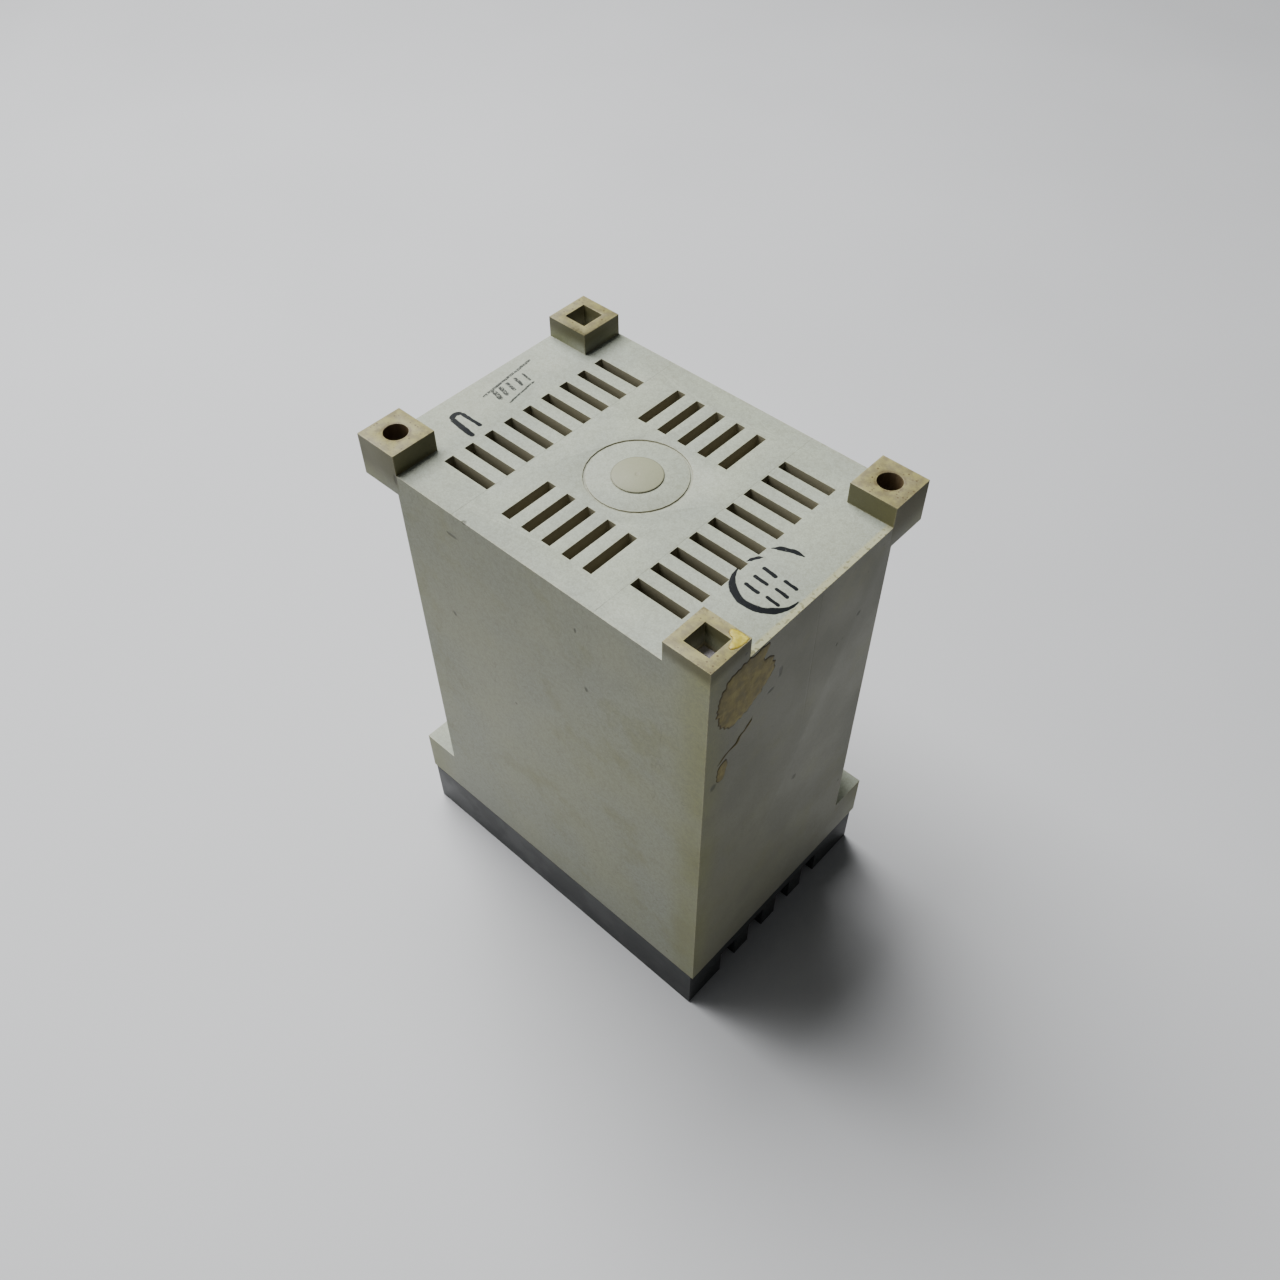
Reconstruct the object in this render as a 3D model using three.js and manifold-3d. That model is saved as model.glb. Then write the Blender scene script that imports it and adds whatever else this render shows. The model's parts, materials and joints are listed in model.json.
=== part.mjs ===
// Panel-mounting solid state relay module, modelled in millimetres, +Z up.
//
// The module stands on its front face: the dark front cover is at the bottom (z = 0) and the
// back wall with the four mounting lugs is on top.  X is the long side, Y the short side, and the
// origin is the middle of the front face.  The case and the cover have two-fold symmetry: half a
// turn about Z brings the module back onto itself, so each end is built once and turned.
import * as THREE from 'three';
import { mergeVertices } from 'three/addons/utils/BufferGeometryUtils.js';
import Module from 'manifold-3d';

const wasm = await Module();
wasm.setup();

// ---------------------------------------------------------------------------------------------
// Driving dimensions
// ---------------------------------------------------------------------------------------------
const TINY = 0.05;               // gap between faces that rest on each other

// Case
const CASE_LENGTH = 80;          // X
const CASE_WIDTH = 56;           // Y
const CASE_DEPTH = 95;           // joint line to the back wall's outer face
const SIDE_WALL = 2.6;
const BACK_WALL = 3.2;
const FLANGE_HEIGHT = 11.2;      // solid corner foot below each screw channel
const CHANNEL_SIDE = 8.8;        // open square channel at two opposite corners
const LUG_SIDE = 9.4;
const LUG_HEIGHT = 4.3;          // above the back wall
const LUG_ROOT = 4.6;            // thickness of a drilled lug below the back wall's outer face
const MOUNT_HOLE = 4.5;          // diameter, clears an M4 screw
const POCKET_SIDE = 5.0;         // square blind pocket in the other two lugs
const POCKET_DEPTH = 5.3;

// Ventilation slots and moulded disc in the back wall
const SLOT_WIDTH = 2.0;
const SLOT_LENGTH = 10.9;
const SLOT_PITCH = 4.7;
const END_SLOTS = 9;             // in each row near a short end
const SIDE_SLOTS = 5;            // in each group near a long side
const END_SLOT_INSET = 18.0;     // row centre from the short end
const SIDE_SLOT_INSET = 11.2;    // group centre from the long side
const DISC_DIAMETER = 9.2;
const DISC_HEIGHT = 0.25;
const RING_DIAMETER = 18.6;
const RING_GROOVE = 0.4;

// Front cover
const COVER_HEIGHT = 12;
const COVER_INSET = 0.6;         // step in from the case at each short end
const COVER_END_WALL = 3.0;
const COVER_SIDE_WALL = 2.6;
const COVER_FACE = 2.5;          // thickness of the front face
const TONGUE_END_FIT = 1.0;      // two tongues between the case bosses locate the case
const TONGUE_RISE = 2.0;
const TONGUE_THICK = 1.8;
const TONGUE_FIT = 0.25;

// Terminals
const TERMINALS = 4;             // at each end
const TERMINAL_PITCH = 9.4;
const ROW_SHIFT = -1.2;          // the row at +X sits this far off the middle
const NOTCH_WIDTH = 4.8;         // wire entry in the end wall
const NOTCH_HEIGHT = 6.8;
const BLOCK_LENGTH = 11.0;       // along X
const BLOCK_BASE = 8.8;          // thickness behind the brass plates
const BARRIER = 1.8;
const BARRIER_SETBACK = 1.0;     // barriers end this far behind the front face
const SPINE = 1.0;
const BLOCK_FIT = 0.2;
const PLATE_THICK = 1.8;
const PLATE_FIT = 0.3;
const TAIL_THICK = 1.0;
const TAIL_WIDTH = 2.4;
const TAIL_FIT = 0.2;
const TAIL_PROUD = 1.8;          // beyond the board's far side
const CLAMP_THICK = 1.1;
const CLAMP_REST = 0.1;          // clamp plate above the brass with no wire in
const SCREW_THREAD = 3.4;        // M3.5
const SCREW_HEAD = 6.0;
const SCREW_HEAD_HEIGHT = 2.2;
const SCREW_LENGTH = 8.2;
const SCREW_TRAVEL = 1.8;        // how far a terminal screw backs out
const SCREW_FIT = 0.08;          // radial, in the brass
const CLAMP_FIT = 0.2;           // radial, in the clamp plate
const BLOCK_BORE_FIT = 0.4;      // radial, in the block

// Case screws
const CASE_SCREW_WALL = 3.4;     // screw centre from the inside of the long wall
const CASE_SCREW_THREAD = 2.9;
const CASE_SCREW_HEAD = 5.6;
const CASE_SCREW_HEAD_HEIGHT = 2.6;
const CASE_SCREW_LENGTH = 16;
const CASE_SCREW_SEAT = 3.5;     // head seat behind the front face
const CASE_BOSS_SIDE = 8;
const CASE_BOSS_FIT = 0.5;       // boss to the heat sink post's pillar, along X
const CASE_BOSS_HEIGHT = 12;

// Label and indicators on the front face
const LABEL_MARGIN = 5.0;        // label to the terminal windows
const LABEL_WIDTH = 26;
const LABEL_THICK = 0.4;
const LABEL_FIT = 0.2;
const LED_X = 6;
const LED_DIAMETER = 3.0;
const LED_SETBACK = 0.8;

// Boards
const BOARD_THICK = 1.6;
const BOARD_GAP = 0.1;           // terminal blocks to the main board
const BOARD_FIT = 0.8;           // main board to the case walls
const TAIL_GAP = 1.5;            // upright board to the terminal tails
const POWER_BOARD_FIT = 3.1;     // upright board to the heat sink
const POWER_BOARD_Y = -2.0;      // mid-plane of the upright board
const LINK_INSET = 6;            // connector strip from the end of the upright board
const LINK_SIDE = 2.5;

// Heat sink and what carries it
const SINK_BASE = 3.5;
const SINK_FINS = 6;
const FIN_THICK = 1.8;
const FIN_HEIGHT = 24.5;
const SINK_MARGIN = 1.1;         // base plate beyond the outer fins
const SINK_END_FIT = 1.1;        // base plate to the walls around the corner channels
const SINK_SIDE_FIT = 3.4;       // base plate to the long walls
const SINK_AIR = 5.8;            // fins to the back wall
const POST_FLATS = 5.5;
const POST_STUD = 3.0;
const POST_STUD_LENGTH = 10.5;
const PILLAR_DIAMETER = 7;       // cover pillar under each post
const PILLAR_FIT = 0.5;          // pillar to the terminal window
const M3_THREAD = 2.9;
const M3_HEAD = 5.5;
const M3_HEAD_HEIGHT = 2.2;
const THREAD_FIT = 0.05;         // radial
const CLEARANCE_FIT = 0.25;      // radial

// Power and control parts
const TRIAC_X = 9;
const TRIAC_WIDTH = 10;
const TRIAC_BODY = 9;
const TRIAC_BODY_THICK = 3.2;
const TAB_LENGTH = 15.4;
const TAB_THICK = 1.25;
const TAB_HOLE_Y = 12.6;         // from the lead end of the tab
const LEAD_PITCH = 2.54;
const LEAD_WIDE = 0.8;
const LEAD_THICK = 0.6;
const LEAD_DROP = 9;
const TRIAC_STANDOFF = 5.2;      // lead end of the tab from the upright board
const PART_INSET = 6;            // column of snubber parts from the end of the board
const VARISTOR_DIAMETER = 10;
const VARISTOR_THICK = 4;
const RESISTOR_DIAMETER = 4.4;
const RESISTOR_LENGTH = 10;
const FILM_CAP = [11, 6.5, 12];  // X, Y, Z
const OPTO = [8.4, 3.5, 6.5];
const OPTO_X = 8;
const STORAGE_CAP_DIAMETER = 10;
const STORAGE_CAP_HEIGHT = 16;
const STORAGE_CAP_FIT = 0.5;     // to the line of the case bosses

// Facets on round parts
const FINE = 32;
const SMALL = 16;

// ---------------------------------------------------------------------------------------------
// Derived heights, bottom to top
// ---------------------------------------------------------------------------------------------
const JOINT_Z = COVER_HEIGHT;
const BACK_Z = JOINT_Z + CASE_DEPTH;
const INNER_Y = CASE_WIDTH / 2 - SIDE_WALL;
const LUG_Z = BACK_Z + LUG_HEIGHT;
const LUG_UNDER_Z = BACK_Z - LUG_ROOT;
const FLANGE_Z = JOINT_Z + FLANGE_HEIGHT;
const COVER_END_X = CASE_LENGTH / 2 - COVER_INSET;
const WINDOW_OUT_X = COVER_END_X - COVER_END_WALL;
const BLOCK_OUT_X = WINDOW_OUT_X - BLOCK_FIT;
const BLOCK_IN_X = BLOCK_OUT_X - BLOCK_LENGTH;
const WINDOW_IN_X = BLOCK_IN_X - BLOCK_FIT;
const BLOCK_HALF_Y = TERMINALS * TERMINAL_PITCH / 2 + BARRIER / 2;
const PLATE_WIDTH = TERMINAL_PITCH - BARRIER - 2 * PLATE_FIT;
const CLAMP_SIDE = PLATE_WIDTH;
const LABEL_LENGTH = 2 * (WINDOW_IN_X - LABEL_MARGIN);

// Terminal stack, front to back: head, clamp plate, brass plate, block
const NOTCH_CLEAR = 1.2;         // block face behind the top of the wire notch
const BLOCK_Z = NOTCH_HEIGHT + NOTCH_CLEAR;
const PLATE_Z = BLOCK_Z - PLATE_THICK;
const CLAMP_Z = PLATE_Z - CLAMP_REST - CLAMP_THICK;
const HEAD_Z = CLAMP_Z - SCREW_HEAD_HEIGHT;
const BLOCK_BACK_Z = BLOCK_Z + BLOCK_BASE;
const PLATE_IN_X = BLOCK_IN_X + SPINE + PLATE_FIT;
const PLATE_OUT_X = BLOCK_OUT_X - PLATE_FIT * 2;
const TAIL_X = PLATE_IN_X + TAIL_THICK;
const SCREW_X = (PLATE_IN_X + PLATE_OUT_X) / 2 + PLATE_FIT;

// Boards and heat sink
const BOARD_Z = BLOCK_BACK_Z + BOARD_GAP;
const BOARD_TOP_Z = BOARD_Z + BOARD_THICK;
const BOARD_HALF_X = CASE_LENGTH / 2 - SIDE_WALL - BOARD_FIT;
const BOARD_HALF_Y = CASE_WIDTH / 2 - SIDE_WALL - BOARD_FIT;
const POWER_FACE_Y = POWER_BOARD_Y + BOARD_THICK / 2;
const POWER_BACK_Y = POWER_BOARD_Y - BOARD_THICK / 2;
const SINK_TOP_Z = BACK_Z - BACK_WALL - SINK_AIR - FIN_HEIGHT;
const SINK_Z = SINK_TOP_Z - SINK_BASE;
const SINK_LENGTH = CASE_LENGTH - 2 * (CHANNEL_SIDE + SIDE_WALL + SINK_END_FIT);
const SINK_HALF_Y = INNER_Y - SINK_SIDE_FIT;
const FIN_PITCH = (2 * (SINK_HALF_Y - SINK_MARGIN) - FIN_THICK) / (SINK_FINS - 1);
const POST_X = WINDOW_IN_X - PILLAR_DIAMETER / 2 - PILLAR_FIT;
const POST_Y = FIN_PITCH * (SINK_FINS - 2) / 2;      // middle of the outermost gap
const POWER_BOARD_LENGTH = 2 * (TAIL_X - TAIL_GAP);
const LINK_LENGTH = POWER_BOARD_LENGTH - 2 * LINK_INSET;
const PART_X = POWER_BOARD_LENGTH / 2 - PART_INSET;
const POWER_BOARD_TOP_Z = SINK_Z - POWER_BOARD_FIT;
const CASE_SCREW_X = POST_X - PILLAR_DIAMETER / 2 - CASE_BOSS_FIT - CASE_BOSS_SIDE / 2;
const CASE_SCREW_Y = INNER_Y - CASE_SCREW_WALL;
const STORAGE_CAP_Y = -(CASE_SCREW_Y - CASE_BOSS_SIDE / 2
  - STORAGE_CAP_FIT - STORAGE_CAP_DIAMETER / 2);
const TONGUE_LENGTH = 2 * (CASE_SCREW_X - CASE_BOSS_SIDE / 2 - TONGUE_END_FIT);

// ---------------------------------------------------------------------------------------------
// Helpers
// ---------------------------------------------------------------------------------------------
function solid(geometry) {
  const g = geometry.clone();
  g.deleteAttribute('normal');
  g.deleteAttribute('uv');
  const merged = mergeVertices(g, 1e-5);
  return new wasm.Manifold(new wasm.Mesh({
    numProp: 3,
    vertProperties: new Float32Array(merged.attributes.position.array),
    triVerts: new Uint32Array(merged.index.array),
  }));
}

// Box between two corners
function box([x0, y0, z0], [x1, y1, z1]) {
  const g = new THREE.BoxGeometry(Math.abs(x1 - x0), Math.abs(y1 - y0), Math.abs(z1 - z0));
  g.translate((x0 + x1) / 2, (y0 + y1) / 2, (z0 + z1) / 2);
  return solid(g);
}

// Cylinder standing on z0, ending at z1
function rod(radius, z0, z1, x = 0, y = 0, facets = SMALL) {
  const g = new THREE.CylinderGeometry(radius, radius, z1 - z0, facets);
  g.rotateX(Math.PI / 2);
  g.translate(x, y, (z0 + z1) / 2);
  return solid(g);
}

// Closed outline in XY, extruded from z0 to z1
function prism(points, z0, z1) {
  const shape = new THREE.Shape(points.map(([x, y]) => new THREE.Vector2(x, y)));
  const g = new THREE.ExtrudeGeometry(shape, { depth: z1 - z0, bevelEnabled: false });
  g.translate(0, 0, z0);
  return solid(g);
}

// Body of revolution about a vertical axis through (x, y); profile is [radius, z] from axis to axis
function turned(profile, x = 0, y = 0, facets = SMALL) {
  const g = new THREE.LatheGeometry(profile.map(([r, z]) => new THREE.Vector2(r, z)), facets);
  g.rotateX(Math.PI / 2);
  g.translate(x, y, 0);
  return solid(g);
}

const join = (...parts) => parts.reduce((a, b) => a.add(b));
const cut = (body, ...tools) => tools.reduce((a, b) => a.subtract(b), body);
const each = (n, fn) => Array.from({ length: n }, (_, i) => fn(i));
const centred = (i, n, pitch) => (i - (n - 1) / 2) * pitch;

function geometryOf(body) {
  const m = body.getMesh();
  const g = new THREE.BufferGeometry();
  g.setAttribute('position', new THREE.BufferAttribute(new Float32Array(m.vertProperties), 3));
  g.setIndex(new THREE.BufferAttribute(new Uint32Array(m.triVerts), 1));
  g.computeVertexNormals();
  return g;
}

const look = (color, roughness, metalness = 0) =>
  new THREE.MeshStandardMaterial({ color, roughness, metalness });

const LOOKS = {
  case: () => look(0xc4c5b8, 0.62),
  cover: () => look(0x3a3d3f, 0.58),
  label: () => look(0xb9bcbe, 0.45, 0.4),
  block: () => look(0x1f1d1b, 0.5),
  brass: () => look(0xb99a55, 0.35, 0.9),
  steel: () => look(0xa9abad, 0.35, 0.9),
  zinc: () => look(0xb9b28e, 0.4, 0.8),
  board: () => look(0x54683a, 0.55),
  aluminium: () => look(0xb4b6b8, 0.45, 0.8),
  epoxy: () => look(0x1a1a1c, 0.55),
  tinned: () => look(0xc0c0bc, 0.35, 0.85),
  film: () => look(0x8a3a22, 0.4),
  ceramic: () => look(0x2f5f9a, 0.45),
  resistor: () => look(0x7d8f6a, 0.5),
  sleeve: () => look(0x22303c, 0.35),
  red_lens: () => look(0xb02018, 0.2),
};

const group = new THREE.Group();

function addTo(parent, name, body, style) {
  const mesh = new THREE.Mesh(geometryOf(body), LOOKS[style]());
  mesh.name = name;
  parent.add(mesh);
  return mesh;
}

// Half a turn about Z, for whatever is repeated at the opposite corner or end
const HALF_TURN = [1, -1];

// ---------------------------------------------------------------------------------------------
// Rear case: deep moulded shell, open towards the front
// ---------------------------------------------------------------------------------------------
function ventilation() {
  const z0 = BACK_Z - BACK_WALL - 1;
  const z1 = BACK_Z + 1;
  const slots = [];
  for (const s of HALF_TURN) {
    each(END_SLOTS, (i) => {
      const y = centred(i, END_SLOTS, SLOT_PITCH);
      const x = s * (CASE_LENGTH / 2 - END_SLOT_INSET);
      slots.push(box([x - SLOT_LENGTH / 2, y - SLOT_WIDTH / 2, z0],
        [x + SLOT_LENGTH / 2, y + SLOT_WIDTH / 2, z1]));
    });
    each(SIDE_SLOTS, (i) => {
      const x = centred(i, SIDE_SLOTS, SLOT_PITCH);
      const y = s * (CASE_WIDTH / 2 - SIDE_SLOT_INSET);
      slots.push(box([x - SLOT_WIDTH / 2, y - SLOT_LENGTH / 2, z0],
        [x + SLOT_WIDTH / 2, y + SLOT_LENGTH / 2, z1]));
    });
  }
  return slots;
}

function rearCase() {
  const hx = CASE_LENGTH / 2;
  const hy = CASE_WIDTH / 2;
  const ix = hx - SIDE_WALL;
  const iy = hy - SIDE_WALL;
  const corner = (s, t, side, z0, z1, over = 0) =>
    box([s * (hx + over), t * (hy + over), z0], [s * (hx - side), t * (hy - side), z1]);

  // Outside: the block, four lugs, less the two open corner channels
  let body = box([-hx, -hy, JOINT_Z], [hx, hy, BACK_Z]);
  for (const s of HALF_TURN) {
    body = join(body, corner(s, s, LUG_SIDE, BACK_Z - 1, LUG_Z),
      corner(s, -s, LUG_SIDE, BACK_Z - 1, LUG_Z));
  }
  for (const s of HALF_TURN) {
    body = cut(body, corner(s, s, CHANNEL_SIDE, FLANGE_Z, LUG_UNDER_Z, 1));
  }

  // Inside: the cavity keeps a wall around each corner channel
  let cavity = box([-ix, -iy, JOINT_Z - 1], [ix, iy, BACK_Z - BACK_WALL]);
  for (const s of HALF_TURN) {
    cavity = cut(cavity, corner(s, s, CHANNEL_SIDE + SIDE_WALL, FLANGE_Z - SIDE_WALL, BACK_Z));
  }
  body = cut(body, cavity);

  // Bosses for the case screws, on the long walls
  for (const s of HALF_TURN) {
    for (const t of HALF_TURN) {
      const x = s * CASE_SCREW_X;
      body = join(body, box(
        [x - CASE_BOSS_SIDE / 2, t * (CASE_SCREW_Y - CASE_BOSS_SIDE / 2), JOINT_Z],
        [x + CASE_BOSS_SIDE / 2, t * (iy + SIDE_WALL / 2), JOINT_Z + CASE_BOSS_HEIGHT]));
      body = cut(body, rod(CASE_SCREW_THREAD / 2 + THREAD_FIT, JOINT_Z - 1,
        CASE_SCREW_SEAT + CASE_SCREW_LENGTH + 1, x, t * CASE_SCREW_Y));
    }
  }

  // Lugs: two drilled through, two with a square blind pocket
  const lx = hx - LUG_SIDE / 2;
  const ly = hy - LUG_SIDE / 2;
  for (const s of HALF_TURN) {
    body = cut(body,
      rod(MOUNT_HOLE / 2, LUG_UNDER_Z - 1, LUG_Z + 1, s * lx, s * ly, FINE),
      box([s * lx - POCKET_SIDE / 2, -s * ly - POCKET_SIDE / 2, LUG_Z - POCKET_DEPTH],
        [s * lx + POCKET_SIDE / 2, -s * ly + POCKET_SIDE / 2, LUG_Z + 1]));
  }

  // Back wall: slots, ring groove and raised disc
  body = cut(body, ...ventilation());
  const groove = cut(
    rod(RING_DIAMETER / 2 + RING_GROOVE / 2, BACK_Z - DISC_HEIGHT, BACK_Z + 1, 0, 0, FINE),
    rod(RING_DIAMETER / 2 - RING_GROOVE / 2, BACK_Z - 1, BACK_Z + 2, 0, 0, FINE));
  body = cut(body, groove);
  return join(body, rod(DISC_DIAMETER / 2, BACK_Z - 1, BACK_Z + DISC_HEIGHT, 0, 0, FINE));
}

addTo(group, 'rear_case', rearCase(), 'case');

// ---------------------------------------------------------------------------------------------
// Front cover: shallow tray with a window and four wire notches at each end
// ---------------------------------------------------------------------------------------------
const terminalY = (i) => ROW_SHIFT + centred(i, TERMINALS, TERMINAL_PITCH);

function frontCover() {
  const hy = CASE_WIDTH / 2;
  const iy = hy - COVER_SIDE_WALL;
  const top = JOINT_Z - TINY;
  let body = box([-COVER_END_X, -hy, 0], [COVER_END_X, hy, top]);
  body = cut(body, box([-WINDOW_OUT_X, -iy, COVER_FACE], [WINDOW_OUT_X, iy, top + 1]));

  for (const s of HALF_TURN) {
    // Blocks that take the case screws, and the pillar under a heat sink post
    for (const t of HALF_TURN) {
      const x = t * CASE_SCREW_X;
      body = join(body, box(
        [x - CASE_BOSS_SIDE / 2, s * (CASE_SCREW_Y - CASE_BOSS_SIDE / 2), COVER_FACE / 2],
        [x + CASE_BOSS_SIDE / 2, s * (iy + COVER_SIDE_WALL / 2), top]));
      body = cut(body,
        rod(CASE_SCREW_HEAD / 2 + CLEARANCE_FIT, -1, CASE_SCREW_SEAT, x, s * CASE_SCREW_Y),
        rod(CASE_SCREW_THREAD / 2 + CLEARANCE_FIT, 0, top + 1, x, s * CASE_SCREW_Y));
    }
    body = join(body,
      rod(PILLAR_DIAMETER / 2, COVER_FACE / 2, BOARD_Z - TINY, s * POST_X, s * POST_Y),
      box([-TONGUE_LENGTH / 2, s * (INNER_Y - TONGUE_FIT - TONGUE_THICK), COVER_FACE / 2],
        [TONGUE_LENGTH / 2, s * (INNER_Y - TONGUE_FIT), JOINT_Z + TONGUE_RISE]));
    body = cut(body, rod(POST_STUD / 2 + THREAD_FIT * 2,
      BOARD_TOP_Z - POST_STUD_LENGTH - 1, BOARD_Z + 1, s * POST_X, s * POST_Y));

    // Window for the terminals and the wire notches
    body = cut(body, box(
      [s * WINDOW_IN_X, s * (ROW_SHIFT - BLOCK_HALF_Y - BLOCK_FIT), -1],
      [s * WINDOW_OUT_X, s * (ROW_SHIFT + BLOCK_HALF_Y + BLOCK_FIT), COVER_FACE + 1]));
    each(TERMINALS, (i) => {
      body = cut(body, box(
        [s * (WINDOW_OUT_X - 1), s * (terminalY(i) - NOTCH_WIDTH / 2), -1],
        [s * (COVER_END_X + 1), s * (terminalY(i) + NOTCH_WIDTH / 2), NOTCH_HEIGHT]));
    });

    // Hole for an indicator
    body = cut(body, rod(LED_DIAMETER / 2 + CLEARANCE_FIT, -1, COVER_FACE + 1, s * LED_X, 0));
  }
  return cut(body, box(
    [-LABEL_LENGTH / 2 - LABEL_FIT, -LABEL_WIDTH / 2 - LABEL_FIT, -1],
    [LABEL_LENGTH / 2 + LABEL_FIT, LABEL_WIDTH / 2 + LABEL_FIT, LABEL_THICK + LABEL_FIT]));
}

addTo(group, 'front_cover', frontCover(), 'cover');

addTo(group, 'face_label', cut(
  box([-LABEL_LENGTH / 2, -LABEL_WIDTH / 2, LABEL_FIT - TINY],
    [LABEL_LENGTH / 2, LABEL_WIDTH / 2, LABEL_THICK + LABEL_FIT - TINY]),
  ...HALF_TURN.map((s) => rod(LED_DIAMETER / 2 + CLEARANCE_FIT, -1, 2, s * LED_X, 0))), 'label');

// ---------------------------------------------------------------------------------------------
// Terminal rows: barrier block, brass plates, clamp plates and screws at each end
// ---------------------------------------------------------------------------------------------
function terminalBlock() {
  const y0 = ROW_SHIFT - BLOCK_HALF_Y;
  const y1 = ROW_SHIFT + BLOCK_HALF_Y;
  let body = join(
    box([BLOCK_IN_X, y0, BLOCK_Z], [BLOCK_OUT_X, y1, BLOCK_BACK_Z]),
    box([BLOCK_IN_X, y0, BARRIER_SETBACK], [BLOCK_IN_X + SPINE, y1, BLOCK_Z + 1]));
  each(TERMINALS + 1, (i) => {
    const y = ROW_SHIFT + centred(i, TERMINALS + 1, TERMINAL_PITCH);
    body = join(body, box([BLOCK_IN_X, y - BARRIER / 2, BARRIER_SETBACK],
      [BLOCK_OUT_X, y + BARRIER / 2, BLOCK_Z + 1]));
  });
  each(TERMINALS, (i) => {
    const y = terminalY(i);
    body = cut(body,
      rod(SCREW_THREAD / 2 + BLOCK_BORE_FIT, BLOCK_Z - 1,
        CLAMP_Z + SCREW_LENGTH + BLOCK_BORE_FIT, SCREW_X, y),
      box([TAIL_X - TAIL_FIT, y - TAIL_WIDTH / 2 - TAIL_FIT, BLOCK_Z - 1],
        [TAIL_X + TAIL_THICK + TAIL_FIT, y + TAIL_WIDTH / 2 + TAIL_FIT, BLOCK_BACK_Z + 1]));
  });
  return body;
}

function brassTerminal(y) {
  return cut(
    join(
      box([PLATE_IN_X, y - PLATE_WIDTH / 2, PLATE_Z],
        [PLATE_OUT_X, y + PLATE_WIDTH / 2, BLOCK_Z - TINY]),
      box([TAIL_X, y - TAIL_WIDTH / 2, PLATE_Z + PLATE_THICK / 2],
        [TAIL_X + TAIL_THICK, y + TAIL_WIDTH / 2, BOARD_TOP_Z + TAIL_PROUD])),
    rod(SCREW_THREAD / 2 + SCREW_FIT, PLATE_Z - 1, BLOCK_Z + 1, SCREW_X, y));
}

// Square clamp plate with two turned-down edges that hold the wire
function clampPlate(y) {
  const h = CLAMP_SIDE / 2;
  const c = CLAMP_THICK * 0.4;
  const plate = prism([
    [-h, -h + c], [-h + c, -h], [h - c, -h], [h, -h + c],
    [h, h - c], [h - c, h], [-h + c, h], [-h, h - c],
  ].map(([dx, dy]) => [SCREW_X + dx, y + dy]), CLAMP_Z, CLAMP_Z + CLAMP_THICK);
  return cut(plate, rod(SCREW_THREAD / 2 + CLAMP_FIT, CLAMP_Z - 1, PLATE_Z, SCREW_X, y));
}

// Cheese-head screw; the slot faces the front
function slottedScrew(x, y, headZ, headHeight, headDiameter, thread, length) {
  const r = headDiameter / 2;
  const edge = headHeight * 0.15;
  const tip = thread * 0.2;
  const seat = headZ + headHeight;
  const body = turned([
    [0, headZ], [r - edge, headZ], [r, headZ + edge], [r, seat], [thread / 2, seat],
    [thread / 2, seat + length - tip], [thread / 2 - tip, seat + length], [0, seat + length],
  ], x, y);
  return cut(body, box([x - headDiameter, y - headDiameter * 0.09, headZ - 1],
    [x + headDiameter, y + headDiameter * 0.09, headZ + headHeight * 0.5]));
}

HALF_TURN.forEach((s, end) => {
  const row = new THREE.Group();
  row.rotation.z = s > 0 ? 0 : Math.PI;
  group.add(row);
  addTo(row, `terminal_block_${end + 1}`, terminalBlock(), 'block');
  each(TERMINALS, (i) => {
    const number = end * TERMINALS + i + 1;
    const y = terminalY(i);
    addTo(row, `terminal_${number}`, brassTerminal(y), 'brass');
    addTo(row, `clamp_plate_${number}`, clampPlate(y), 'steel');
    addTo(row, `terminal_screw_${number}`, slottedScrew(SCREW_X, y, HEAD_Z - TINY,
      SCREW_HEAD_HEIGHT, SCREW_HEAD, SCREW_THREAD, SCREW_LENGTH), 'steel');
  });
});

// ---------------------------------------------------------------------------------------------
// Case screws, from the front face into the case bosses
// ---------------------------------------------------------------------------------------------
each(4, (i) => {
  const x = (i % 2 ? 1 : -1) * CASE_SCREW_X;
  const y = (i < 2 ? -1 : 1) * CASE_SCREW_Y;
  addTo(group, `case_screw_${i + 1}`, slottedScrew(x, y,
    CASE_SCREW_SEAT - CASE_SCREW_HEAD_HEIGHT - TINY, CASE_SCREW_HEAD_HEIGHT,
    CASE_SCREW_HEAD, CASE_SCREW_THREAD, CASE_SCREW_LENGTH), 'zinc');
});

// ---------------------------------------------------------------------------------------------
// Boards: main board behind the terminals, upright power board plugged into it
// ---------------------------------------------------------------------------------------------
function mainBoard() {
  let body = box([-BOARD_HALF_X, -BOARD_HALF_Y, BOARD_Z], [BOARD_HALF_X, BOARD_HALF_Y, BOARD_TOP_Z]);
  for (const s of HALF_TURN) {
    body = cut(body, rod(POST_STUD / 2 + CLEARANCE_FIT, BOARD_Z - 1, BOARD_TOP_Z + 1,
      s * POST_X, s * POST_Y));
    for (const t of HALF_TURN) {
      const x = t * CASE_SCREW_X;
      const reach = CASE_BOSS_SIDE / 2 + BOARD_FIT;
      body = cut(body, box([x - reach, s * (CASE_SCREW_Y - reach), BOARD_Z - 1],
        [x + reach, s * CASE_WIDTH, BOARD_TOP_Z + 1]));
    }
    each(TERMINALS, (i) => {
      const y = terminalY(i);
      body = cut(body, box(
        [s * (TAIL_X - TAIL_FIT), s * (y - TAIL_WIDTH / 2 - TAIL_FIT), BOARD_Z - 1],
        [s * (TAIL_X + TAIL_THICK + TAIL_FIT), s * (y + TAIL_WIDTH / 2 + TAIL_FIT),
          BOARD_TOP_Z + 1]));
    });
  }
  return body;
}

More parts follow.
